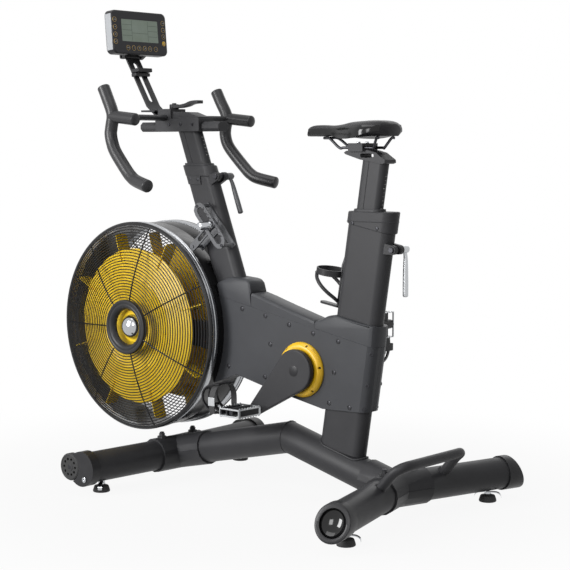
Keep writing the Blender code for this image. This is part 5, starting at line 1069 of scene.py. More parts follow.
for side_name, side in SIDES:
    ring = lathe([(0.0460, RING_BASE), (0.0700, RING_BASE), (0.0705, RING_BASE + 0.0012), slope_low,
                  slope_high, (0.0618, RING_FACE),
                  (0.0525, RING_FACE), (0.0510, RING_FACE - 0.0008), (0.0460, RING_FACE - 0.0042)], 120,
                 loop=True)
    slots = []
    for k in range(RING_SCREWS):
        angle = 2.0 * math.pi * (k + 0.16) / RING_SCREWS
        place = Matrix.Rotation(angle, 4, "Z") @ Matrix.Translation((0.0655, 0.0, RING_BASE + 0.0062))
        slots.append(placed(lathe([(0.0, 0.0), (0.0030, 0.0), (0.0030, 0.02), (0.0, 0.02)], 18), place))
    parts = [carved(ring, slots)]
    for k in range(100):
        angle = RIB_STEP * k
        phase = (angle * RING_SCREWS / (2.0 * math.pi) - 0.16) % 2.0
        if 0.22 < phase < 0.80:
            rib = [(slope_low[0] - 0.0008, slope_low[1] + 0.0016),
                   (slope_high[0] + 0.0012, slope_high[1] - 0.0024)]
            path = [(r * math.cos(angle), r * math.sin(angle), h + 0.0002) for r, h in rib]
            parts.append(sweep(path, 0.0009, 8, ends=0.0006))
    piece(side_name + "_ring_shown", sided(placed(together(parts), CRANK @ LEFTWARD), side), yellow_abs,
          "frame", "yellow_plastic",
          side_name + "_crank_ring")
    heads = []
    for k in range(RING_SCREWS):
        angle = 2.0 * math.pi * (k + 0.16) / RING_SCREWS
        place = Matrix.Rotation(angle, 4, "Z") @ Matrix.Translation((0.0655, 0.0, RING_BASE + 0.0058))
        heads.append(placed(screw(0.0028, 0.0016, 0.0014), place))
    piece(side_name + "_ring_screws", sided(placed(together(heads), CRANK @ LEFTWARD), side), black_oxide,
          "frame", "grey_steel")

# Cranks: forged alloy arms with a broad round boss, coated charcoal, pressed on a tapered
# spindle. A plain cap closes the boss, and a pin for the pedal is screwed into each tip.
CRANK_FACE, CRANK_PLATE, CRANK_BOSS, CRANK_LENGTH = 0.067, 0.016, 0.054, 0.170
CRANK_ANGLE = math.radians(219.9)
PEDAL_CENTRE, PEDAL_HALF = 0.1225, 0.042
for side_name, side in SIDES:
    angle = CRANK_ANGLE if side < 0.0 else CRANK_ANGLE - math.pi
    arm = prism(teardrop(CRANK_BOSS, 0.0185, CRANK_LENGTH, angle, 30), CRANK_FACE - CRANK_PLATE, CRANK_FACE)
    hub = lathe([(0.0, 0.031), (0.019, 0.031), (0.019, CRANK_FACE - 0.0095), (0.0, CRANK_FACE - 0.0095)],
                40)
    body_parts = together([placed(arm, CRANK @ LEFTWARD), placed(hub, CRANK @ LEFTWARD)])
    piece(side_name + "_crank_arm", sided(body_parts, side), powder_coat, "crank", "frame_paint",
          side_name + "_crank", 0.0042, 4)
    tip = Matrix.Translation((CRANK_LENGTH * math.cos(angle), CRANK_LENGTH * math.sin(angle), 0.0))
    pin = lathe([(0.0, CRANK_FACE - 0.012), (0.007, CRANK_FACE - 0.012), (0.0095, CRANK_FACE),
                 (0.0095, CRANK_FACE + 0.0035),
                 (0.0070, CRANK_FACE + 0.0040), (0.0070, PEDAL_CENTRE + PEDAL_HALF - 0.006),
                 (0.0, PEDAL_CENTRE + PEDAL_HALF - 0.006)], 32)
    piece(side_name + "_pedal_pin", sided(placed(pin, CRANK @ LEFTWARD @ tip), side), black_oxide, "crank",
          "grey_steel")
    cap = lathe([(0.0, CRANK_FACE - 0.0005), (0.0140, CRANK_FACE - 0.0005), (0.0140, CRANK_FACE + 0.0004),
                 (0.0125, CRANK_FACE + 0.0010),
                 (0.0, CRANK_FACE + 0.0014)], 48)
    piece(side_name + "_crank_plug", sided(placed(cap, CRANK @ LEFTWARD), side), nylon, "crank",
          "black_plastic")
dressed("crank_spindle", satin_zinc, 0.0)

# Pedals: a pressed steel cage with toothed edges round a moulded body that turns on the pin.
PEDAL_TURN = {"left": 0.0, "right": math.radians(-90.0)}
PEDAL_PLACE = {"left": (0.080212, -0.1225, 0.233954), "right": (0.341048, 0.1225, 0.452046)}
CAGE_X = 0.033
strap_web, web_tree, web_shader = material("black_polyester_webbing", "#1b1b1c", 0.70, IOR=1.5,
                                           Sheen_Weight=0.15)
web_place = add(web_tree, "ShaderNodeTexCoord")
# Weave: threads are about 0.5 mm apart on the real strap, drawn at 1.5 mm so that they show.
web_rib = add(web_tree, "ShaderNodeTexWave", {"Scale": per_metre(1.5) / 6.283,
                                              "bands_direction": "DIAGONAL", "Distortion": 0.4},
              {"Vector": web_place.outputs["Object"]})
web_tint = add(web_tree, "ShaderNodeMix", {"data_type": "RGBA", 6: linear("#131314"), 7: linear("#2a2a2c")},
               {0: web_rib.outputs["Fac"]})
web_tree.links.new(web_tint.outputs[2], web_shader.inputs["Base Color"])
web_bump = add(web_tree, "ShaderNodeBump", {"Strength": 0.4, "Distance": 0.0004},
               {"Height": web_rib.outputs["Fac"]})
web_tree.links.new(web_bump.outputs[0], web_shader.inputs["Normal"])


def offset_strip(path, thickness):
    """The outline of a strip that follows a path in local x and y."""
    points = [Vector(p) for p in path]
    left, right = [], []
    for i, point in enumerate(points):
        along = (points[min(i + 1, len(points) - 1)] - points[max(i - 1, 0)]).normalized()
        normal = Vector((-along.y, along.x, 0.0)) * thickness / 2.0
        left.append((point + normal)[:2])
        right.append((point - normal)[:2])
    return left + right[::-1]


for side_name, side in SIDES:
    body = side_name + "_pedal_set"
    level = Matrix.Translation(PEDAL_PLACE[side_name]) @ Matrix.Rotation(PEDAL_TURN[side_name], 4, "Y")
    rail_parts = []
    outer = [(-CAGE_X, -PEDAL_HALF), (CAGE_X, -PEDAL_HALF), (CAGE_X, PEDAL_HALF), (-CAGE_X, PEDAL_HALF)]
    wall = 0.0024
    hollow = [(-CAGE_X + wall, -PEDAL_HALF + wall), (CAGE_X - wall, -PEDAL_HALF + wall),
              (CAGE_X - wall, PEDAL_HALF - wall),
              (-CAGE_X + wall, PEDAL_HALF - wall)]
    for low, high in ((0.0072, 0.0112), (-0.0112, -0.0072)):
        rail_parts.append(solid([[(u, v, z) for u, v in ring] for ring,
                                 z in ((outer, low), (outer, high), (hollow, high), (hollow, low))],
                                loop=True))
    for u in (-CAGE_X, CAGE_X - wall):
        for k in range(8):
            y = -PEDAL_HALF + 0.0060 + k * (2.0 * PEDAL_HALF - 0.012) / 7.0
            rail_parts.append(block((u, y - 0.0026, 0.0105), (u + wall, y + 0.0026, 0.0135)))
            rail_parts.append(block((u, y - 0.0026, -0.0135), (u + wall, y + 0.0026, -0.0105)))
        for y in (-PEDAL_HALF, PEDAL_HALF - 0.007):
            rail_parts.append(block((u, y, -0.0080), (u + wall, y + 0.007, 0.0080)))
    piece(side_name + "_pedal_cage", placed(together(rail_parts), level), satin_zinc, body, "grey_steel",
          side_name + "_pedal", 0.0005)
    core = [placed(lathe([(0.0076, -PEDAL_HALF + 0.001), (0.0115, -PEDAL_HALF + 0.001), (0.0125, -0.030),
                          (0.0125, 0.030),
                          (0.0115, PEDAL_HALF - 0.001), (0.0076, PEDAL_HALF - 0.001)], 36, loop=True),
                   Matrix.Rotation(math.pi / 2.0, 4, "X"))]
    core.append(block((-CAGE_X + wall, -0.024, -0.0060), (-0.0095, 0.024, 0.0060)))
    core.append(block((0.0095, -0.024, -0.0060), (CAGE_X - wall, 0.024, 0.0060)))
    for u in (-CAGE_X + 0.0006, CAGE_X - 0.0016):
        core.append(block((u, -PEDAL_HALF + 0.006, -0.0074), (u + 0.0010, PEDAL_HALF - 0.006, 0.0074)))
    piece(side_name + "_pedal_core", placed(together(core), level), nylon, body, "black_plastic",
          bevel=0.0008)

    # Toe cage: a bent nylon half-basket bolted to the front of the pedal, closed by a webbing
    # strap that a pressed steel buckle holds.
    toe_path = smooth([(-0.0333, -0.006, 0.0), (-0.060, -0.007, 0.0), (-0.086, 0.001, 0.0),
                       (-0.103, 0.019, 0.0), (-0.104, 0.040, 0.0),
                       (-0.090, 0.057, 0.0), (-0.066, 0.066, 0.0), (-0.046, 0.067, 0.0)], 7)
    basket = placed(prism(offset_strip(toe_path, 0.0036), -0.030, 0.030), LEFTWARD)
    windows = []
    for y in (-0.0145, 0.0145):
        windows.append(block((-0.130, y - 0.0085, 0.010), (-0.093, y + 0.0085, 0.049)))
        windows.append(block((-0.094, y - 0.0070, -0.020), (-0.050, y + 0.0070, 0.010)))
    piece(side_name + "_toe_basket", placed(carved(basket, windows), level), nylon, body, "black_plastic",
          side_name + "_toe_cage", 0.0012)
    strap_outline = [(-0.040, -0.0085, 0.0), (0.040, -0.0085, 0.0), (0.043, 0.010, 0.0),
                     (0.041, 0.040, 0.0), (0.028, 0.060, 0.0),
                     (0.0, 0.0685, 0.0), (-0.028, 0.060, 0.0), (-0.041, 0.040, 0.0), (-0.043, 0.010, 0.0),
                     (-0.040, -0.0085, 0.0)]
    curve = smooth(strap_outline, 6)[:-1]
    rings = []
    for i, point in enumerate(curve):
        along = (curve[(i + 1) % len(curve)] - curve[i - 1]).normalized()
        normal = Vector((along.y, -along.x, 0.0)) * 0.0013
        rings.append([(-0.068, (point - normal * 2.0).x, (point - normal * 2.0).y),
                      (-0.050, (point - normal * 2.0).x, (point - normal * 2.0).y),
                      (-0.050, point.x, point.y), (-0.068, point.x, point.y)])
    piece(side_name + "_toe_strap", placed(solid(rings, loop=True), level), strap_web, body,
          "black_plastic", bevel=0.0004)
    side_out = -0.0435 if side < 0.0 else 0.0435
    buckle = solid([[(-0.070, side_out - 0.0012, 0.012), (-0.048, side_out - 0.0012, 0.012),
                     (-0.048, side_out + 0.0012, 0.012), (-0.070, side_out + 0.0012, 0.012)],
                    [(-0.070, side_out - 0.0012, 0.034), (-0.048, side_out - 0.0012, 0.034),
                     (-0.048, side_out + 0.0012, 0.034), (-0.070, side_out + 0.0012, 0.034)]])
    piece(side_name + "_strap_buckle", placed(buckle, level), satin_zinc, body, "grey_steel", bevel=0.0008)

# Posts: flat-oval steel sections with a rolled groove down each face, coated like the frame; the
# handlebar post ends under an eight-sided slide rail welded across its top.
SEAT_POST_LOW, SEAT_POST_TOP = SEAT_LENGTH - 0.220, 0.716
SLIDE_HEIGHT = 0.957
HEAD_POST_LOW, HEAD_POST_TOP = HEAD_LENGTH - 0.200, (SLIDE_HEIGHT - 0.456) / math.cos(math.radians(20.7))


def grooved(shift):
    """The post's outline with one shallow groove in each flat face, near its front."""
    outline = []
    run = (POST_DEPTH - POST_WIDTH) / 2.0
    groove = shift - run * 0.42
    half = POST_WIDTH / 2.0
    front = arc((shift - run, 0.0), half, 90.0, 270.0, 18)
    rear = arc((shift + run, 0.0), half, -90.0, 90.0, 18)
    dip = [(groove - 0.0016, -half), (groove - 0.0008, -half + 0.0011), (groove + 0.0008, -half + 0.0011),
           (groove + 0.0016, -half)]
    return front + dip + rear + [(u, -v) for u, v in reversed(dip)]


piece("seat_post_shown", placed(prism(grooved(POST_SHIFT), SEAT_POST_LOW, SEAT_POST_TOP), SEAT),
      powder_coat, "seat_mast", "frame_paint",
      "seat_post", sharp=25.0)
rail_cut = 0.008
rail_section = [(-0.020 + rail_cut, -0.013), (0.020 - rail_cut, -0.013), (0.020, -0.013 + rail_cut),
                (0.020, 0.013 - rail_cut),
                (0.020 - rail_cut, 0.013), (-0.020 + rail_cut, 0.013), (-0.020, 0.013 - rail_cut),
                (-0.020, -0.013 + rail_cut)]
LENGTHWISE = Matrix(((0.0, 0.0, 1.0), (1.0, 0.0, 0.0), (0.0, 1.0, 0.0))).to_4x4()
rail_low, rail_high = -0.37907, -0.08707
rail = placed(prism(rail_section, rail_low, rail_high),
              Matrix.Translation((0.0, 0.0, SLIDE_HEIGHT)) @ LENGTHWISE)
piece("handlebar_post_shown", placed(prism(grooved(0.0), HEAD_POST_LOW, HEAD_POST_TOP), HEAD), powder_coat,
      "handlebar_mast", "frame_paint",
      "handlebar_post", sharp=25.0)
piece("slide_rail", rail, powder_coat, "handlebar_mast", "frame_paint", bevel=0.0010)

# Post scale: a row of short height marks pressed into the rear edge of each post and paint-filled.
mark_paint, mark_tree, mark_shader = material("white_marking_paint", "#c9c9c6", 0.55, IOR=1.5)
mark_place = add(mark_tree, "ShaderNodeTexCoord")
mark_wear = add(mark_tree, "ShaderNodeTexNoise", {"Scale": per_metre(3.0)},
                {"Vector": mark_place.outputs["Object"]})
mark_tint = add(mark_tree, "ShaderNodeMix", {"data_type": "RGBA", 6: linear("#8d8d8b"),
                                             7: linear("#d4d4d1")}, {0: mark_wear.outputs["Fac"]})
mark_tree.links.new(mark_tint.outputs[2], mark_shader.inputs["Base Color"])
for mast, holder, shift, low, high in (("seat_mast", SEAT, POST_SHIFT, SEAT_LENGTH + 0.022,
                                        SEAT_POST_TOP - 0.012),
                                       ("handlebar_mast", HEAD, 0.0, HEAD_LENGTH + 0.018,
                                        HEAD_POST_TOP - 0.030)):
    marks = []
    count = int((high - low) / 0.010)
    for k in range(count):
        height = low + 0.010 * k
        wide = 0.0050 if k % 5 == 0 else 0.0030
        edge = shift + POST_DEPTH / 2.0
        marks.append(placed(block((edge - 0.0006, -wide, height - 0.0005),
                                  (edge + 0.0002, wide, height + 0.0005)), holder))
    piece(mast + "_scale", together(marks), mark_paint, mast, "frame_paint")

# Seat head: a cast alloy clamp bolted in the post's top, coated black, that grips the two rails
# between jaws drawn down by cap screws.
dressed("seat_head", powder_coat, 0.0012, 30.0)
jaw_screws = []
jaw_x, jaw_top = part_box("seat_head")[0].x + 0.041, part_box("seat_head")[1].z
for u in (-0.013, 0.013):
    jaw_screws.append(placed(screw(0.0050, 0.0036, 0.0027), Matrix.Translation((jaw_x + u, 0.0, jaw_top))))
piece("seat_jaw_screws", together(jaw_screws), chrome, "seat_mast", "bright_steel", bevel=0.0003)

# Saddle rails: one bent steel rod, blackened, sprung into sockets under the saddle.
NOSE_X, SADDLE_LENGTH, SADDLE_UNDER = 0.2085, 0.2615, 0.929
RAIL_HEIGHT, RAIL_SPREAD, RAIL_RADIUS = 0.9015, 0.022, 0.0035
rail_top = SADDLE_UNDER - 0.0038
rail_half = [(NOSE_X + 0.240, RAIL_SPREAD + 0.010, rail_top),
             (NOSE_X + 0.232, RAIL_SPREAD + 0.008, rail_top - 0.001),
             (NOSE_X + 0.217, RAIL_SPREAD, RAIL_HEIGHT), (NOSE_X + 0.209, RAIL_SPREAD, RAIL_HEIGHT),
             (NOSE_X + 0.130, RAIL_SPREAD, RAIL_HEIGHT), (NOSE_X + 0.112, RAIL_SPREAD, RAIL_HEIGHT),
             (NOSE_X + 0.078, RAIL_SPREAD - 0.004, rail_top - 0.001),
             (NOSE_X + 0.056, RAIL_SPREAD - 0.010, rail_top)]
rail_points = smooth([(x, -y, z) for x, y, z in rail_half], 6) + smooth(rail_half[::-1], 6)
piece("saddle_rod", sweep(rail_points, RAIL_RADIUS, 16), black_oxide, "saddle_set", "bright_steel",
      "saddle_rails")

# Saddle: a moulded foam pad under a tight vinyl skin. The seat panel is finely grained; the
# patent side panels are sewn to it along a raised seam, over a black nylon pan.
SADDLE_STATIONS = ((0.0, 0.0105, 0.0080, 0.0), (0.035, 0.0190, 0.0205, 0.0), (0.15, 0.0235, 0.0245, 0.0),
                   (0.33, 0.0290, 0.0235, 0.0), (0.45, 0.0385, 0.0262, -0.0075),
                   (0.58, 0.0540, 0.0315, -0.0100),
                   (0.70, 0.0660, 0.0335, -0.0080), (0.81, 0.0716, 0.0348, -0.0010),
                   (0.90, 0.0640, 0.0342, 0.0055),
                   (0.96, 0.0480, 0.0310, 0.0085), (1.0, 0.0260, 0.0240, 0.0090))


def station(share):
    """Half width, height and lower edge of the saddle at this share of its length."""
    for a, b, c, d in zip((SADDLE_STATIONS[0],) + SADDLE_STATIONS, SADDLE_STATIONS, SADDLE_STATIONS[1:],
                          SADDLE_STATIONS[2:] + (SADDLE_STATIONS[-1],)):
        if b[0] <= share <= c[0]:
            t = (share - b[0]) / (c[0] - b[0])
            values = []
            for k in (1, 2, 3):
                left = (c[k] - a[k]) / max(c[0] - a[0], 1e-6) * (c[0] - b[0])
                right = (d[k] - b[k]) / max(d[0] - b[0], 1e-6) * (c[0] - b[0])
                values.append((2 * t ** 3 - 3 * t * t + 1) * b[k] + (t ** 3 - 2 * t * t + t) * left
                              + (3 * t * t - 2 * t ** 3) * c[k] + (t ** 3 - t * t) * right)
            return values


def saddle_point(share, angle, grow=0.0):
    """A point on the skin: angle runs from the left lower edge over the crown to the right."""
    half, rise, edge = station(share)
    cos, sin = math.cos(angle), math.sin(angle)
    y = (half + grow) * math.copysign(abs(cos) ** 0.72, cos)
    crown = (rise + grow) * max(sin, 0.0) ** 0.66
    channel = 0.0022 * math.exp(-(y / 0.0075) ** 2) * math.exp(-((share - 0.62) / 0.24) ** 2)
    drop = (1.0 - max(sin, 0.0)) ** 3
    x = NOSE_X + SADDLE_LENGTH * share
    return Vector((x, -y, SADDLE_UNDER + 0.004 + crown - channel + edge * drop))


SKIN_STEPS = 36
shares = [0.0, 0.012, 0.035] + [0.07 + 0.03 * k for k in range(30)] + [0.965, 0.985, 1.0]
pad_rings = []
for share in shares:
    over = [saddle_point(share, math.pi * k / SKIN_STEPS) for k in range(SKIN_STEPS + 1)]
    under = []
    for k in range(1, 6):
        y = over[-1].y + (over[0].y - over[-1].y) * k / 6.0
        under.append(Vector((over[0].x, y, SADDLE_UNDER + 0.0005 + min(station(share)[2],
                0.0) * abs(2.0 * k / 6.0 - 1.0) ** 2)))
    pad_rings.append(over + under)
grained_vinyl, vinyl_tree, vinyl_shader = material("grained_vinyl", "#1c1c1e", 0.42, IOR=1.5,
                                                   Specular_IOR_Level=0.2)
vinyl_place = add(vinyl_tree, "ShaderNodeTexCoord")
# Grain: pebbles of about 1 mm, drawn at 2.4 mm so that they show.
vinyl_cells = add(vinyl_tree, "ShaderNodeTexVoronoi", {"Scale": per_metre(2.4)},
                  {"Vector": vinyl_place.outputs["Object"]})
vinyl_tint = add(vinyl_tree, "ShaderNodeMix", {"data_type": "RGBA", 6: linear("#131314"),
                                               7: linear("#212123")},
                 {0: vinyl_cells.outputs["Distance"]})
vinyl_tree.links.new(vinyl_tint.outputs[2], vinyl_shader.inputs["Base Color"])
vinyl_bump = add(vinyl_tree, "ShaderNodeBump", {"Strength": 0.25, "Distance": 0.0004},
                 {"Height": vinyl_cells.outputs["Distance"]})
vinyl_tree.links.new(vinyl_bump.outputs[0], vinyl_shader.inputs["Normal"])
pad = piece("saddle_pad", solid(pad_rings), grained_vinyl, "saddle_set", "vinyl", "saddle", sharp=60.0)

SEAM_ANGLE = math.radians(33.0)
panel_steps = 8
panels = []
seams = []
for side in (-1.0, 1.0):
    rings = []
    line = []
    for share in shares[2:-2]:
        angles = [SEAM_ANGLE * k / panel_steps for k in range(panel_steps + 1)]
        outer = [saddle_point(share, a, 0.0007) for a in angles]
        inside = [saddle_point(share, a, -0.0012) for a in reversed(angles)]
        strip = [Vector((p.x, p.y * -side, p.z)) for p in outer + inside]
        rings.append(strip)
        line.append(strip[panel_steps] + Vector((0.0, 0.0, 0.0001)))
    panels.append(solid(rings))
    seams.append(sweep(line, 0.0009, 8))
patent_vinyl, patent_tree, patent_shader = material("patent_vinyl", "#0d0d0e", 0.14, IOR=1.5,
                                                    Specular_IOR_Level=0.35)
patent_place = add(patent_tree, "ShaderNodeTexCoord")
patent_wave = add(patent_tree, "ShaderNodeTexNoise", {"Scale": per_metre(14.0)},
                  {"Vector": patent_place.outputs["Object"]})
patent_rough = add(patent_tree, "ShaderNodeMapRange", {"To Min": 0.09, "To Max": 0.22},
                   {"Value": patent_wave.outputs["Fac"]})
patent_tree.links.new(patent_rough.outputs[0], patent_shader.inputs["Roughness"])
piece("saddle_side_panels", together(panels), patent_vinyl, "saddle_set", "vinyl", sharp=60.0)
piece("saddle_seams", together(seams), strap_web, "saddle_set", "vinyl")
pan_rings = []
for share in [0.05 + 0.041 * k for k in range(19)]:
    half, rise, edge = station(share)
    x = NOSE_X + SADDLE_LENGTH * share
    width = half * 0.76
    bottom = SADDLE_UNDER - 0.0002
    pan_rings.append([(x, -width, bottom + 0.0040), (x, -width * 0.94, bottom + 0.0004),
                      (x, -width * 0.4, bottom + 0.0016), (x, width * 0.4, bottom + 0.0016),
                      (x, width * 0.94, bottom + 0.0004), (x, width, bottom + 0.0040)])
piece("saddle_pan", solid(pan_rings), nylon, "saddle_set", "black_plastic", sharp=50.0)

# Bottle cage: one nylon moulding screwed to the front of the seat tube: a back strip with a foot,
# a hoop, and two arms that wind forward and up from the strip to the hoop.
CAGE_BACK, CAGE_LOW, CAGE_HIGH, HOOP_RADIUS = -SEAT_DEPTH / 2.0 - 0.0003, 0.340, 0.4700, 0.0355
cage_centre = CAGE_BACK - HOOP_RADIUS - 0.0040
strip_outline = [(-0.010, CAGE_LOW)] + [(0.010, CAGE_LOW), (0.010, CAGE_HIGH - 0.022),
                                        (0.0045, CAGE_HIGH - 0.006)] + \
    arc((0.0, CAGE_HIGH - 0.0055), 0.0045, 0.0, 180.0, 8) + [(-0.0045, CAGE_HIGH - 0.006),
                                                             (-0.010, CAGE_HIGH - 0.022)]
cage_parts = [placed(prism(strip_outline, CAGE_BACK - 0.0042, CAGE_BACK), LENGTHWISE)]
foot_outline = [(CAGE_BACK, -0.010), (CAGE_BACK, 0.010)] + arc((cage_centre - 0.012, 0.0), 0.010, 90.0,
                                                               270.0, 12)
cage_parts.append(prism(foot_outline, CAGE_LOW, CAGE_LOW + 0.0055))
hoop = lathe([(HOOP_RADIUS, 0.0), (HOOP_RADIUS + 0.0035, 0.0), (HOOP_RADIUS + 0.0035, 0.016),
              (HOOP_RADIUS, 0.016)], 72, loop=True)
cage_parts.append(placed(hoop, Matrix.Translation((cage_centre, 0.0, CAGE_LOW + 0.076))))
for side in (-1.0, 1.0):
    winding = []
    for turn, height in ((6.0, 0.013), (30.0, 0.024), (60.0, 0.037), (90.0, 0.051), (120.0, 0.065),
                         (150.0, 0.079)):
        angle = math.radians(turn)
        reach = HOOP_RADIUS + 0.0018
        winding.append((cage_centre + reach * math.cos(angle), side * reach * math.sin(angle),
                        CAGE_LOW + height))
    cage_parts.append(sweep(smooth(winding, 6), 0.0046, 14, ends=0.0012))
piece("bottle_cage_shown", placed(together(cage_parts), SEAT), nylon, "frame", "black_plastic",
      "bottle_cage", 0.0008)

# Handlebar: a flattened steel crossbar and, on each side, a horn, a rearward stub and a drop in
# round tube, sleeved in closed-cell foam with rounded plugs in the open ends.
BAR_X, BAR_HEIGHT, BAR_HALF, GRIP_RADIUS = -0.27807, 0.984, 0.220, 0.0165
FOAM_COLOUR, FOAM_LIGHT = "#1d1d1f", "#29292b"
grip_foam, foam_tree, foam_shader = material("black_closed_cell_foam", FOAM_COLOUR, 0.36, IOR=1.45,
                                             Specular_IOR_Level=0.4)
foam_place = add(foam_tree, "ShaderNodeTexCoord")
# Pores: about 0.4 mm on the real sleeve, drawn at 1.6 mm so that they show.
foam_pores = add(foam_tree, "ShaderNodeTexNoise", {"Scale": per_metre(1.6), "Detail": 4.0},
                 {"Vector": foam_place.outputs["Object"]})
foam_tint = add(foam_tree, "ShaderNodeMix", {"data_type": "RGBA", 6: linear(FOAM_COLOUR),
                                             7: linear(FOAM_LIGHT)}, {0: foam_pores.outputs["Fac"]})
foam_tree.links.new(foam_tint.outputs[2], foam_shader.inputs["Base Color"])
foam_bump = add(foam_tree, "ShaderNodeBump", {"Strength": 0.22, "Distance": 0.0004},
                {"Height": foam_pores.outputs["Fac"]})
foam_tree.links.new(foam_bump.outputs[0], foam_shader.inputs["Normal"])
GRIP_PATH = ((-0.038, -0.004, 0.078), (-0.021, -0.0035, 0.047), (0.001, -0.001, 0.004),
             (-0.004, -0.001, -0.030),
             (-0.0055, 0.0, -0.048), (0.0015, 0.001, -0.072), (0.018, 0.0045, -0.096),
             (0.061, 0.009, -0.140),
             (0.081, 0.011, -0.157), (0.104, 0.015, -0.168), (0.162, 0.029, -0.181))
grips = []
for side in (-1.0, 1.0):
    path = [(BAR_X + x, side * (BAR_HALF + y), BAR_HEIGHT + z) for x, y, z in GRIP_PATH]
    grips.append(sweep(smooth(path, 7), GRIP_RADIUS, 32, ends=0.005))
    stub = [(BAR_X - 0.004, side * BAR_HALF, BAR_HEIGHT - 0.001),
            (BAR_X + 0.030, side * (BAR_HALF + 0.001), BAR_HEIGHT - 0.0045),
            (BAR_X + 0.062, side * (BAR_HALF + 0.002), BAR_HEIGHT - 0.0077),
            (BAR_X + 0.094, side * (BAR_HALF + 0.003), BAR_HEIGHT - 0.011)]
    grips.append(sweep(smooth(stub, 6), GRIP_RADIUS - 0.0004, 32, ends=0.005))
piece("foam_grips", together(grips), grip_foam, "handlebar_carriage", "foam", "handlebar")
bar = sweep([(0.0, -BAR_HALF, 0.0), (0.0, BAR_HALF, 0.0)], 0.0127, 36)
bar_place = Matrix.Translation((BAR_X, 0.0, BAR_HEIGHT - 0.003)) @ Matrix.Diagonal((1.0, 1.0, 0.62, 1.0))
piece("crossbar", placed(bar, bar_place), powder_coat, "handlebar_carriage", "frame_paint")

# Carriage: a steel clasp that slides on the rail, with a block for the crossbar, and its lever.
dressed("slider_carriage", powder_coat, 0.0014, 30.0)
carriage_screws = []
for u in (0.018, 0.060, 0.104):
    for side in (-1.0, 1.0):
        place = facing((BAR_X + u, side * 0.029, SLIDE_HEIGHT + 0.006), (0.0, side, 0.0))
        carriage_screws.append(placed(screw(0.0042, 0.0030, 0.0022), place))
piece("carriage_screws", together(carriage_screws), black_oxide, "handlebar_carriage", "grey_steel",
      bevel=0.0003)
LOCK = Matrix.Translation((-0.26807, 0.0, 1.0053))
lock_hub = lathe([(0.0065, 0.0), (0.0125, 0.0), (0.0130, 0.0010), (0.0130, 0.0115), (0.0120, 0.0125),
                  (0.0065, 0.0125)], 36, loop=True)
blade_side = smooth([(0.006, 0.0060, 0.0), (0.030, 0.0070, 0.0), (0.050, 0.0100, 0.0), (0.066, 0.0150, 0.0),
                     (0.080, 0.0170, 0.0), (0.097, 0.0175, 0.0)], 6)
blade = placed(prism(offset_strip(blade_side, 0.0085), -0.011, 0.011), LEFTWARD)
piece("slide_lock_shown", placed(together([lock_hub, blade]), LOCK), nylon, "slide_lock", "black_plastic",
      "slider_lock_lever", 0.0016, 3)

# Console arm: a pressed steel strip with a long slot, coated black, bolted to the carriage; a
# clip of two rubber-faced jaws for a phone sits on it.
ARM_LINE = ((-0.31487, 0.949), (-0.31487, 0.987), (-0.34887, 1.014), (-0.43207, 1.150))
ARM_THICK, ARM_HALF = 0.005, 0.0245
side_line = [(x, z, 0.0) for x, z in ARM_LINE]
arm_strip = prism(offset_strip(side_line, ARM_THICK), -ARM_HALF, ARM_HALF)
run_start, run_end = Vector(side_line[2]), Vector(side_line[3])
run = run_end - run_start
slot_turn = math.atan2(run.y, run.x)
slot_half = run.length * 0.40
slot_place = Matrix.Translation(run_start + run * 0.48) @ Matrix.Rotation(slot_turn, 4, "Z")
slot_place = slot_place @ Matrix.Rotation(math.radians(90.0), 4, "X")
slot_outline = arc((slot_half - 0.007, 0.0), 0.007, -90.0, 90.0, 8) + arc((-slot_half + 0.007, 0.0), 0.007,
        90.0, 270.0, 8)
arm_parts = [placed(carved(arm_strip, [placed(prism(slot_outline, -0.02, 0.02), slot_place)]), LEFTWARD)]
barrel = lathe([(0.0, -0.0283), (0.0052, -0.0283), (0.0060, -0.0275), (0.0060, 0.0275), (0.0052, 0.0283),
                (0.0, 0.0283)], 32)
arm_parts.append(placed(barrel, Matrix.Translation((ARM_LINE[3][0], 0.0, ARM_LINE[3][1])) @ ACROSS))
arm_parts.append(block((-0.36487, -0.031, 0.9975), (-0.31387, 0.031, 1.0025)))
piece("console_arm_shown", together(arm_parts), nylon, "handlebar_carriage", "black_plastic", "console_arm",
      0.0008)
CLIP = Matrix.Translation((-0.4018, 0.0, 1.1000)) @ Matrix.Rotation(math.radians(-8.0), 4, "Y")
clip_parts = [placed(block((-0.004, -0.027, -0.0055), (0.0150, 0.027, 0.0040)), CLIP),
              placed(block((-0.004, -0.027, 0.0050), (0.0250, 0.027, 0.0155)), CLIP)]
piece("phone_clip", together(clip_parts), nylon, "handlebar_carriage", "black_plastic", bevel=0.0016)

# Console: a black ABS case with bright end panels, hinged on the arm. The face is one printed
# film with a dark window over a grey-green liquid crystal panel and a ring of membrane keys.
CONSOLE = Matrix.Translation((-0.43207, 0.0, 1.150)) @ Matrix.Rotation(math.radians(-5.0), 4, "Y")
CASE_LOW, CASE_TALL, CASE_HALF_WIDE = 0.0015, 0.1185, 0.1040
CASE_BACK, CASE_FACE = 0.0105, 0.0400


def rounded(half_wide, low, high, corner, count=8):
    """A rectangle with round corners, in local y and z."""
    return arc((-half_wide + corner, low + corner), corner, 180.0, 270.0,
               count) + arc((half_wide - corner, low + corner), corner, 270.0, 360.0, count) + \
        arc((half_wide - corner, high - corner), corner, 0.0, 90.0,
            count) + arc((-half_wide + corner, high - corner), corner, 90.0, 180.0, count)


def on_console(outline, back, face):
    return placed(prism(outline, back, face), CONSOLE @ LENGTHWISE)


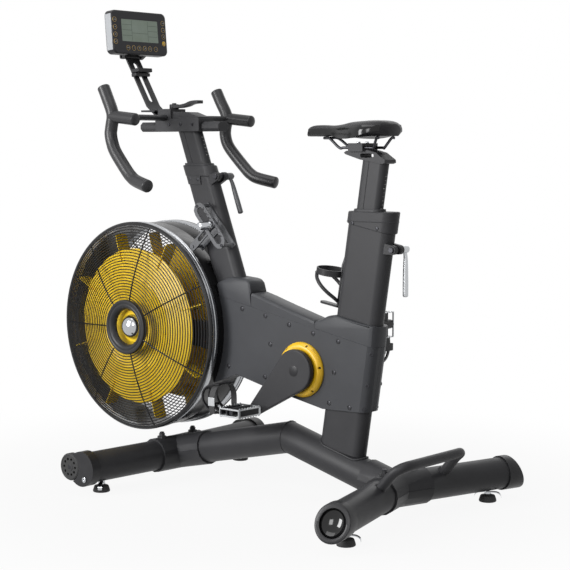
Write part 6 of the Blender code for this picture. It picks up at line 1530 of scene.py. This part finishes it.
case_high = CASE_LOW + CASE_TALL
case_abs, case_tree, case_shader = material("black_console_abs", "#1b1b1d", 0.40, IOR=1.54,
                                            Specular_IOR_Level=0.25)
case_place = add(case_tree, "ShaderNodeTexCoord")
case_grain = add(case_tree, "ShaderNodeTexNoise", {"Scale": per_metre(1.6), "Detail": 3.0},
                 {"Vector": case_place.outputs["Object"]})
case_bump = add(case_tree, "ShaderNodeBump", {"Strength": 0.14, "Distance": 0.0003},
                {"Height": case_grain.outputs["Fac"]})
case_tree.links.new(case_bump.outputs[0], case_shader.inputs["Normal"])
piece("console_shell", on_console(rounded(CASE_HALF_WIDE - 0.0010, CASE_LOW, case_high, 0.015, 10),
                                  CASE_BACK, CASE_FACE - 0.0008), case_abs,
      "console", "console_plastic", "console_case", 0.0030, 4)
silver_abs, silver_tree, silver_shader = material("silver_painted_abs", "#85878a", 0.42, IOR=1.5,
                                                  metallic=0.2)
silver_place = add(silver_tree, "ShaderNodeTexCoord")
silver_flake = add(silver_tree, "ShaderNodeTexNoise", {"Scale": per_metre(1.2), "Detail": 2.0},
                   {"Vector": silver_place.outputs["Object"]})
silver_tint = add(silver_tree, "ShaderNodeMix",
                  {"data_type": "RGBA", 6: linear("#86888b"), 7: linear("#989a9d")},
                  {0: silver_flake.outputs["Fac"]})
silver_tree.links.new(silver_tint.outputs[2], silver_shader.inputs["Base Color"])
side_plates = []
for side in (-1.0, 1.0):
    y_low, y_high = sorted((side * (CASE_HALF_WIDE - 0.0022), side * CASE_HALF_WIDE))
    plate = placed(block((CASE_BACK + 0.0035, y_low, CASE_LOW + 0.010),
                         (CASE_FACE - 0.0035, y_high, case_high - 0.010)), CONSOLE)
    side_plates.append(plate)
piece("console_end_panels", together(side_plates), silver_abs, "console", "console_plastic", bevel=0.0009)
lugs = []
for side in (-1.0, 1.0):
    y_low, y_high = sorted((side * 0.029, side * 0.040))
    lug_outline = [(0.018, CASE_LOW + 0.012), (0.018, CASE_LOW)] + arc((0.0, 0.0), 0.0066, -60.0, -180.0,
            12) + [(-0.0066, 0.004), (0.004, 0.016)]
    lug = carved(prism(lug_outline, -y_high, -y_low),
                 [placed(lathe([(0.0, -0.05), (0.0034, -0.05), (0.0034, 0.05), (0.0, 0.05)], 20),
                         Matrix.Identity(4))])
    lugs.append(placed(lug, CONSOLE @ LEFTWARD))
piece("console_hinge_lugs", together(lugs), case_abs, "console", "console_plastic", bevel=0.0008)

film, film_tree, film_shader = material("black_printed_film", "#2a2a2d", 0.36, IOR=1.58,
                                        Specular_IOR_Level=0.20)
film_place = add(film_tree, "ShaderNodeTexCoord")
film_cloud = add(film_tree, "ShaderNodeTexNoise", {"Scale": per_metre(1.4), "Detail": 2.0},
                 {"Vector": film_place.outputs["Object"]})
film_rough = add(film_tree, "ShaderNodeMapRange", {"To Min": 0.30, "To Max": 0.42},
                 {"Value": film_cloud.outputs["Fac"]})
film_tree.links.new(film_rough.outputs[0], film_shader.inputs["Roughness"])
LCD_WIDE, LCD_LOW, LCD_HIGH = 0.0685, 0.0365, 0.0965
face_sheet = prism(rounded(CASE_HALF_WIDE - 0.0040, CASE_LOW + 0.0035, case_high - 0.0035, 0.012, 10),
                   CASE_FACE - 0.0012, CASE_FACE)
window = prism(rounded(LCD_WIDE, LCD_LOW, LCD_HIGH, 0.002, 4), CASE_FACE - 0.002, CASE_FACE + 0.001)
piece("console_film", placed(carved(face_sheet, [window]), CONSOLE @ LENGTHWISE), film, "console",
      "console_plastic", bevel=0.0003)
lcd, lcd_tree, lcd_shader = material("liquid_crystal_panel", "#8b9a8e", 0.22, IOR=1.52)
lcd_place = add(lcd_tree, "ShaderNodeTexCoord")
lcd_cloud = add(lcd_tree, "ShaderNodeTexNoise", {"Scale": per_metre(35.0)},
                {"Vector": lcd_place.outputs["Object"]})
lcd_tint = add(lcd_tree, "ShaderNodeMix", {"data_type": "RGBA", 6: linear("#82917f"), 7: linear("#93a296")},
               {0: lcd_cloud.outputs["Fac"]})
lcd_tree.links.new(lcd_tint.outputs[2], lcd_shader.inputs["Base Color"])
piece("console_lcd", on_console(rounded(LCD_WIDE + 0.0010, LCD_LOW - 0.0010, LCD_HIGH + 0.0010, 0.002, 4),
                                CASE_FACE - 0.0030, CASE_FACE - 0.0004), lcd,
      "console", "console_plastic")
LCD_FACE = CASE_FACE - 0.0003
lines = []
TABLE_LINES = [(-0.0655, -0.0305, z, z) for z in (0.0820, 0.0675, 0.0525)] + [(0.0300, 0.0655, z,
        z) for z in (0.0820, 0.0675, 0.0525)]
TABLE_LINES += [(-0.0300, 0.0300, 0.0600, 0.0600), (-0.0305, -0.0305, 0.0395, 0.0940),
                (0.0300, 0.0300, 0.0395, 0.0940)]
for y_low, y_high, z_low, z_high in TABLE_LINES:
    lines.append(placed(block((LCD_FACE - 0.0002, y_low - 0.0004, z_low - 0.0004),
                              (LCD_FACE + 0.0001, y_high + 0.0004, z_high + 0.0004)), CONSOLE))
segment_ink, ink_tree, ink_shader = material("liquid_crystal_segments", "#4d5a52", 0.25, IOR=1.52)
ink_place = add(ink_tree, "ShaderNodeTexCoord")
ink_cloud = add(ink_tree, "ShaderNodeTexNoise", {"Scale": per_metre(9.0)},
                {"Vector": ink_place.outputs["Object"]})
ink_tint = add(ink_tree, "ShaderNodeMix", {"data_type": "RGBA", 6: linear("#46534b"), 7: linear("#59675e")},
               {0: ink_cloud.outputs["Fac"]})
ink_tree.links.new(ink_tint.outputs[2], ink_shader.inputs["Base Color"])
piece("console_segments", together(lines), segment_ink, "console", "console_plastic")
KEY_SPOTS = [(-0.0935, z) for z in (0.0937, 0.0735, 0.0533, 0.0342)] + [(0.0890, z) for z in (0.0925,
        0.0735, 0.0552, 0.0362)] + \
            [(y, 0.0190) for y in (-0.0488, -0.0276, -0.0075, 0.0137, 0.0340, 0.0562)]
key_rings, key_caps, yellow_caps, key_signs = [], [], [], []
for index, (y, z) in enumerate(KEY_SPOTS):
    place = CONSOLE @ facing((CASE_FACE, y, z), (1.0, 0.0, 0.0))
    key_rings.append(placed(lathe([(0.0060, -0.0003), (0.0070, -0.0003), (0.0070, 0.0004),
                                   (0.0060, 0.0004)], 32, loop=True), place))
    cap = placed(lathe([(0.0, -0.0003), (0.0059, -0.0003), (0.0058, 0.0004), (0.0048, 0.0009),
                        (0.0, 0.0011)], 32), place)
    (yellow_caps if index == 7 else key_caps).append(cap)
    kind = index % 4
    spots = {0: ((-0.0024, 0.0), (0.0024, 0.0)), 1: ((0.0, 0.0),), 2: ((0.0, 0.0018), (0.0, -0.0018)),
             3: ((-0.0016, -0.0012), (0.0016, 0.0012))}[kind]
    for u, v in spots:
        key_signs.append(placed(lathe([(0.0, 0.0006), (0.0013, 0.0006), (0.0013, 0.0012), (0.0, 0.0012)],
                                      12), place @ Matrix.Translation((u, v, 0.0))))
gold_ink, gold_tree, gold_shader = material("gold_printing_ink", "#b89a5c", 0.42, IOR=1.5)
gold_place = add(gold_tree, "ShaderNodeTexCoord")
gold_cloud = add(gold_tree, "ShaderNodeTexNoise", {"Scale": per_metre(2.5)},
                 {"Vector": gold_place.outputs["Object"]})
gold_tint = add(gold_tree, "ShaderNodeMix", {"data_type": "RGBA", 6: linear("#a8894c"),
                                             7: linear("#c7aa6d")}, {0: gold_cloud.outputs["Fac"]})
gold_tree.links.new(gold_tint.outputs[2], gold_shader.inputs["Base Color"])
piece("console_key_rings", together(key_rings), gold_ink, "console", "console_plastic")
piece("console_keys", together(key_caps), film, "console", "console_plastic")
piece("console_start_key", together(yellow_caps), yellow_abs, "console", "console_plastic")
piece("console_key_signs", together(key_signs), mark_paint, "console", "console_plastic")

# Resistance quadrant: a slotted steel plate with a row of stops, stood off the head tube on
# posts; a slotted arm behind it is moved by a bright knob that runs in both slots.
PLATE_MID, PLATE_ANGLE, PLATE_FACE = Vector((-0.07757, 0.0, 0.6985)), math.radians(-48.6), 0.067
QUADRANT = Matrix.Translation(PLATE_MID) @ Matrix.Rotation(-PLATE_ANGLE, 4, "Y") @ LEFTWARD
dressed("notch_plate", grey_coat, 0.0006, 30.0)
dressed("resistance_arm", grey_coat, 0.0006, 30.0)
plate_screws = []
for u in (-0.0665, 0.0665):
    plate_screws.append(placed(screw(0.0040, 0.0022, 0.0020),
                               QUADRANT @ Matrix.Translation((u, 0.0, PLATE_FACE))))
for k in range(9):
    u = -0.048 + 0.012 * k
    plate_screws.append(placed(lathe([(0.0, -0.0002), (0.0016, -0.0002), (0.0016, 0.0006), (0.0, 0.0009)],
                                     12),
                               QUADRANT @ Matrix.Translation((u, 0.0162, PLATE_FACE))))
piece("quadrant_screws", together(plate_screws), black_oxide, "frame", "grey_steel")
knob = lathe([(0.0, 0.050), (0.0085, 0.050), (0.0085, 0.0555), (0.004, 0.0555),
              (0.004, PLATE_FACE + 0.0005), (0.0122, PLATE_FACE + 0.0005),
              (0.0130, PLATE_FACE + 0.0014), (0.0130, PLATE_FACE + 0.0052), (0.0110, PLATE_FACE + 0.0080),
              (0.0105, PLATE_FACE + 0.0100),
              (0.0105, PLATE_FACE + 0.0350), (0.0098, PLATE_FACE + 0.0378), (0.0080, PLATE_FACE + 0.0390),
              (0.0, PLATE_FACE + 0.0390)], 48)
piece("knob_shown", placed(knob, QUADRANT), chrome, "knob", "bright_steel", "resistance_knob")

# Every CAD solid that still shows keeps its shape and takes its finish.
for node, shown in frame["nodes"].items():
    if not shown.hide_render:
        shown.data.materials.clear()
        shown.data.materials.append(powder_coat)

low, high = cad_box
seen_low, seen_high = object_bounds()
{"cad": [list(low), list(high)], "visual": [list(seen_low), list(seen_high)]}
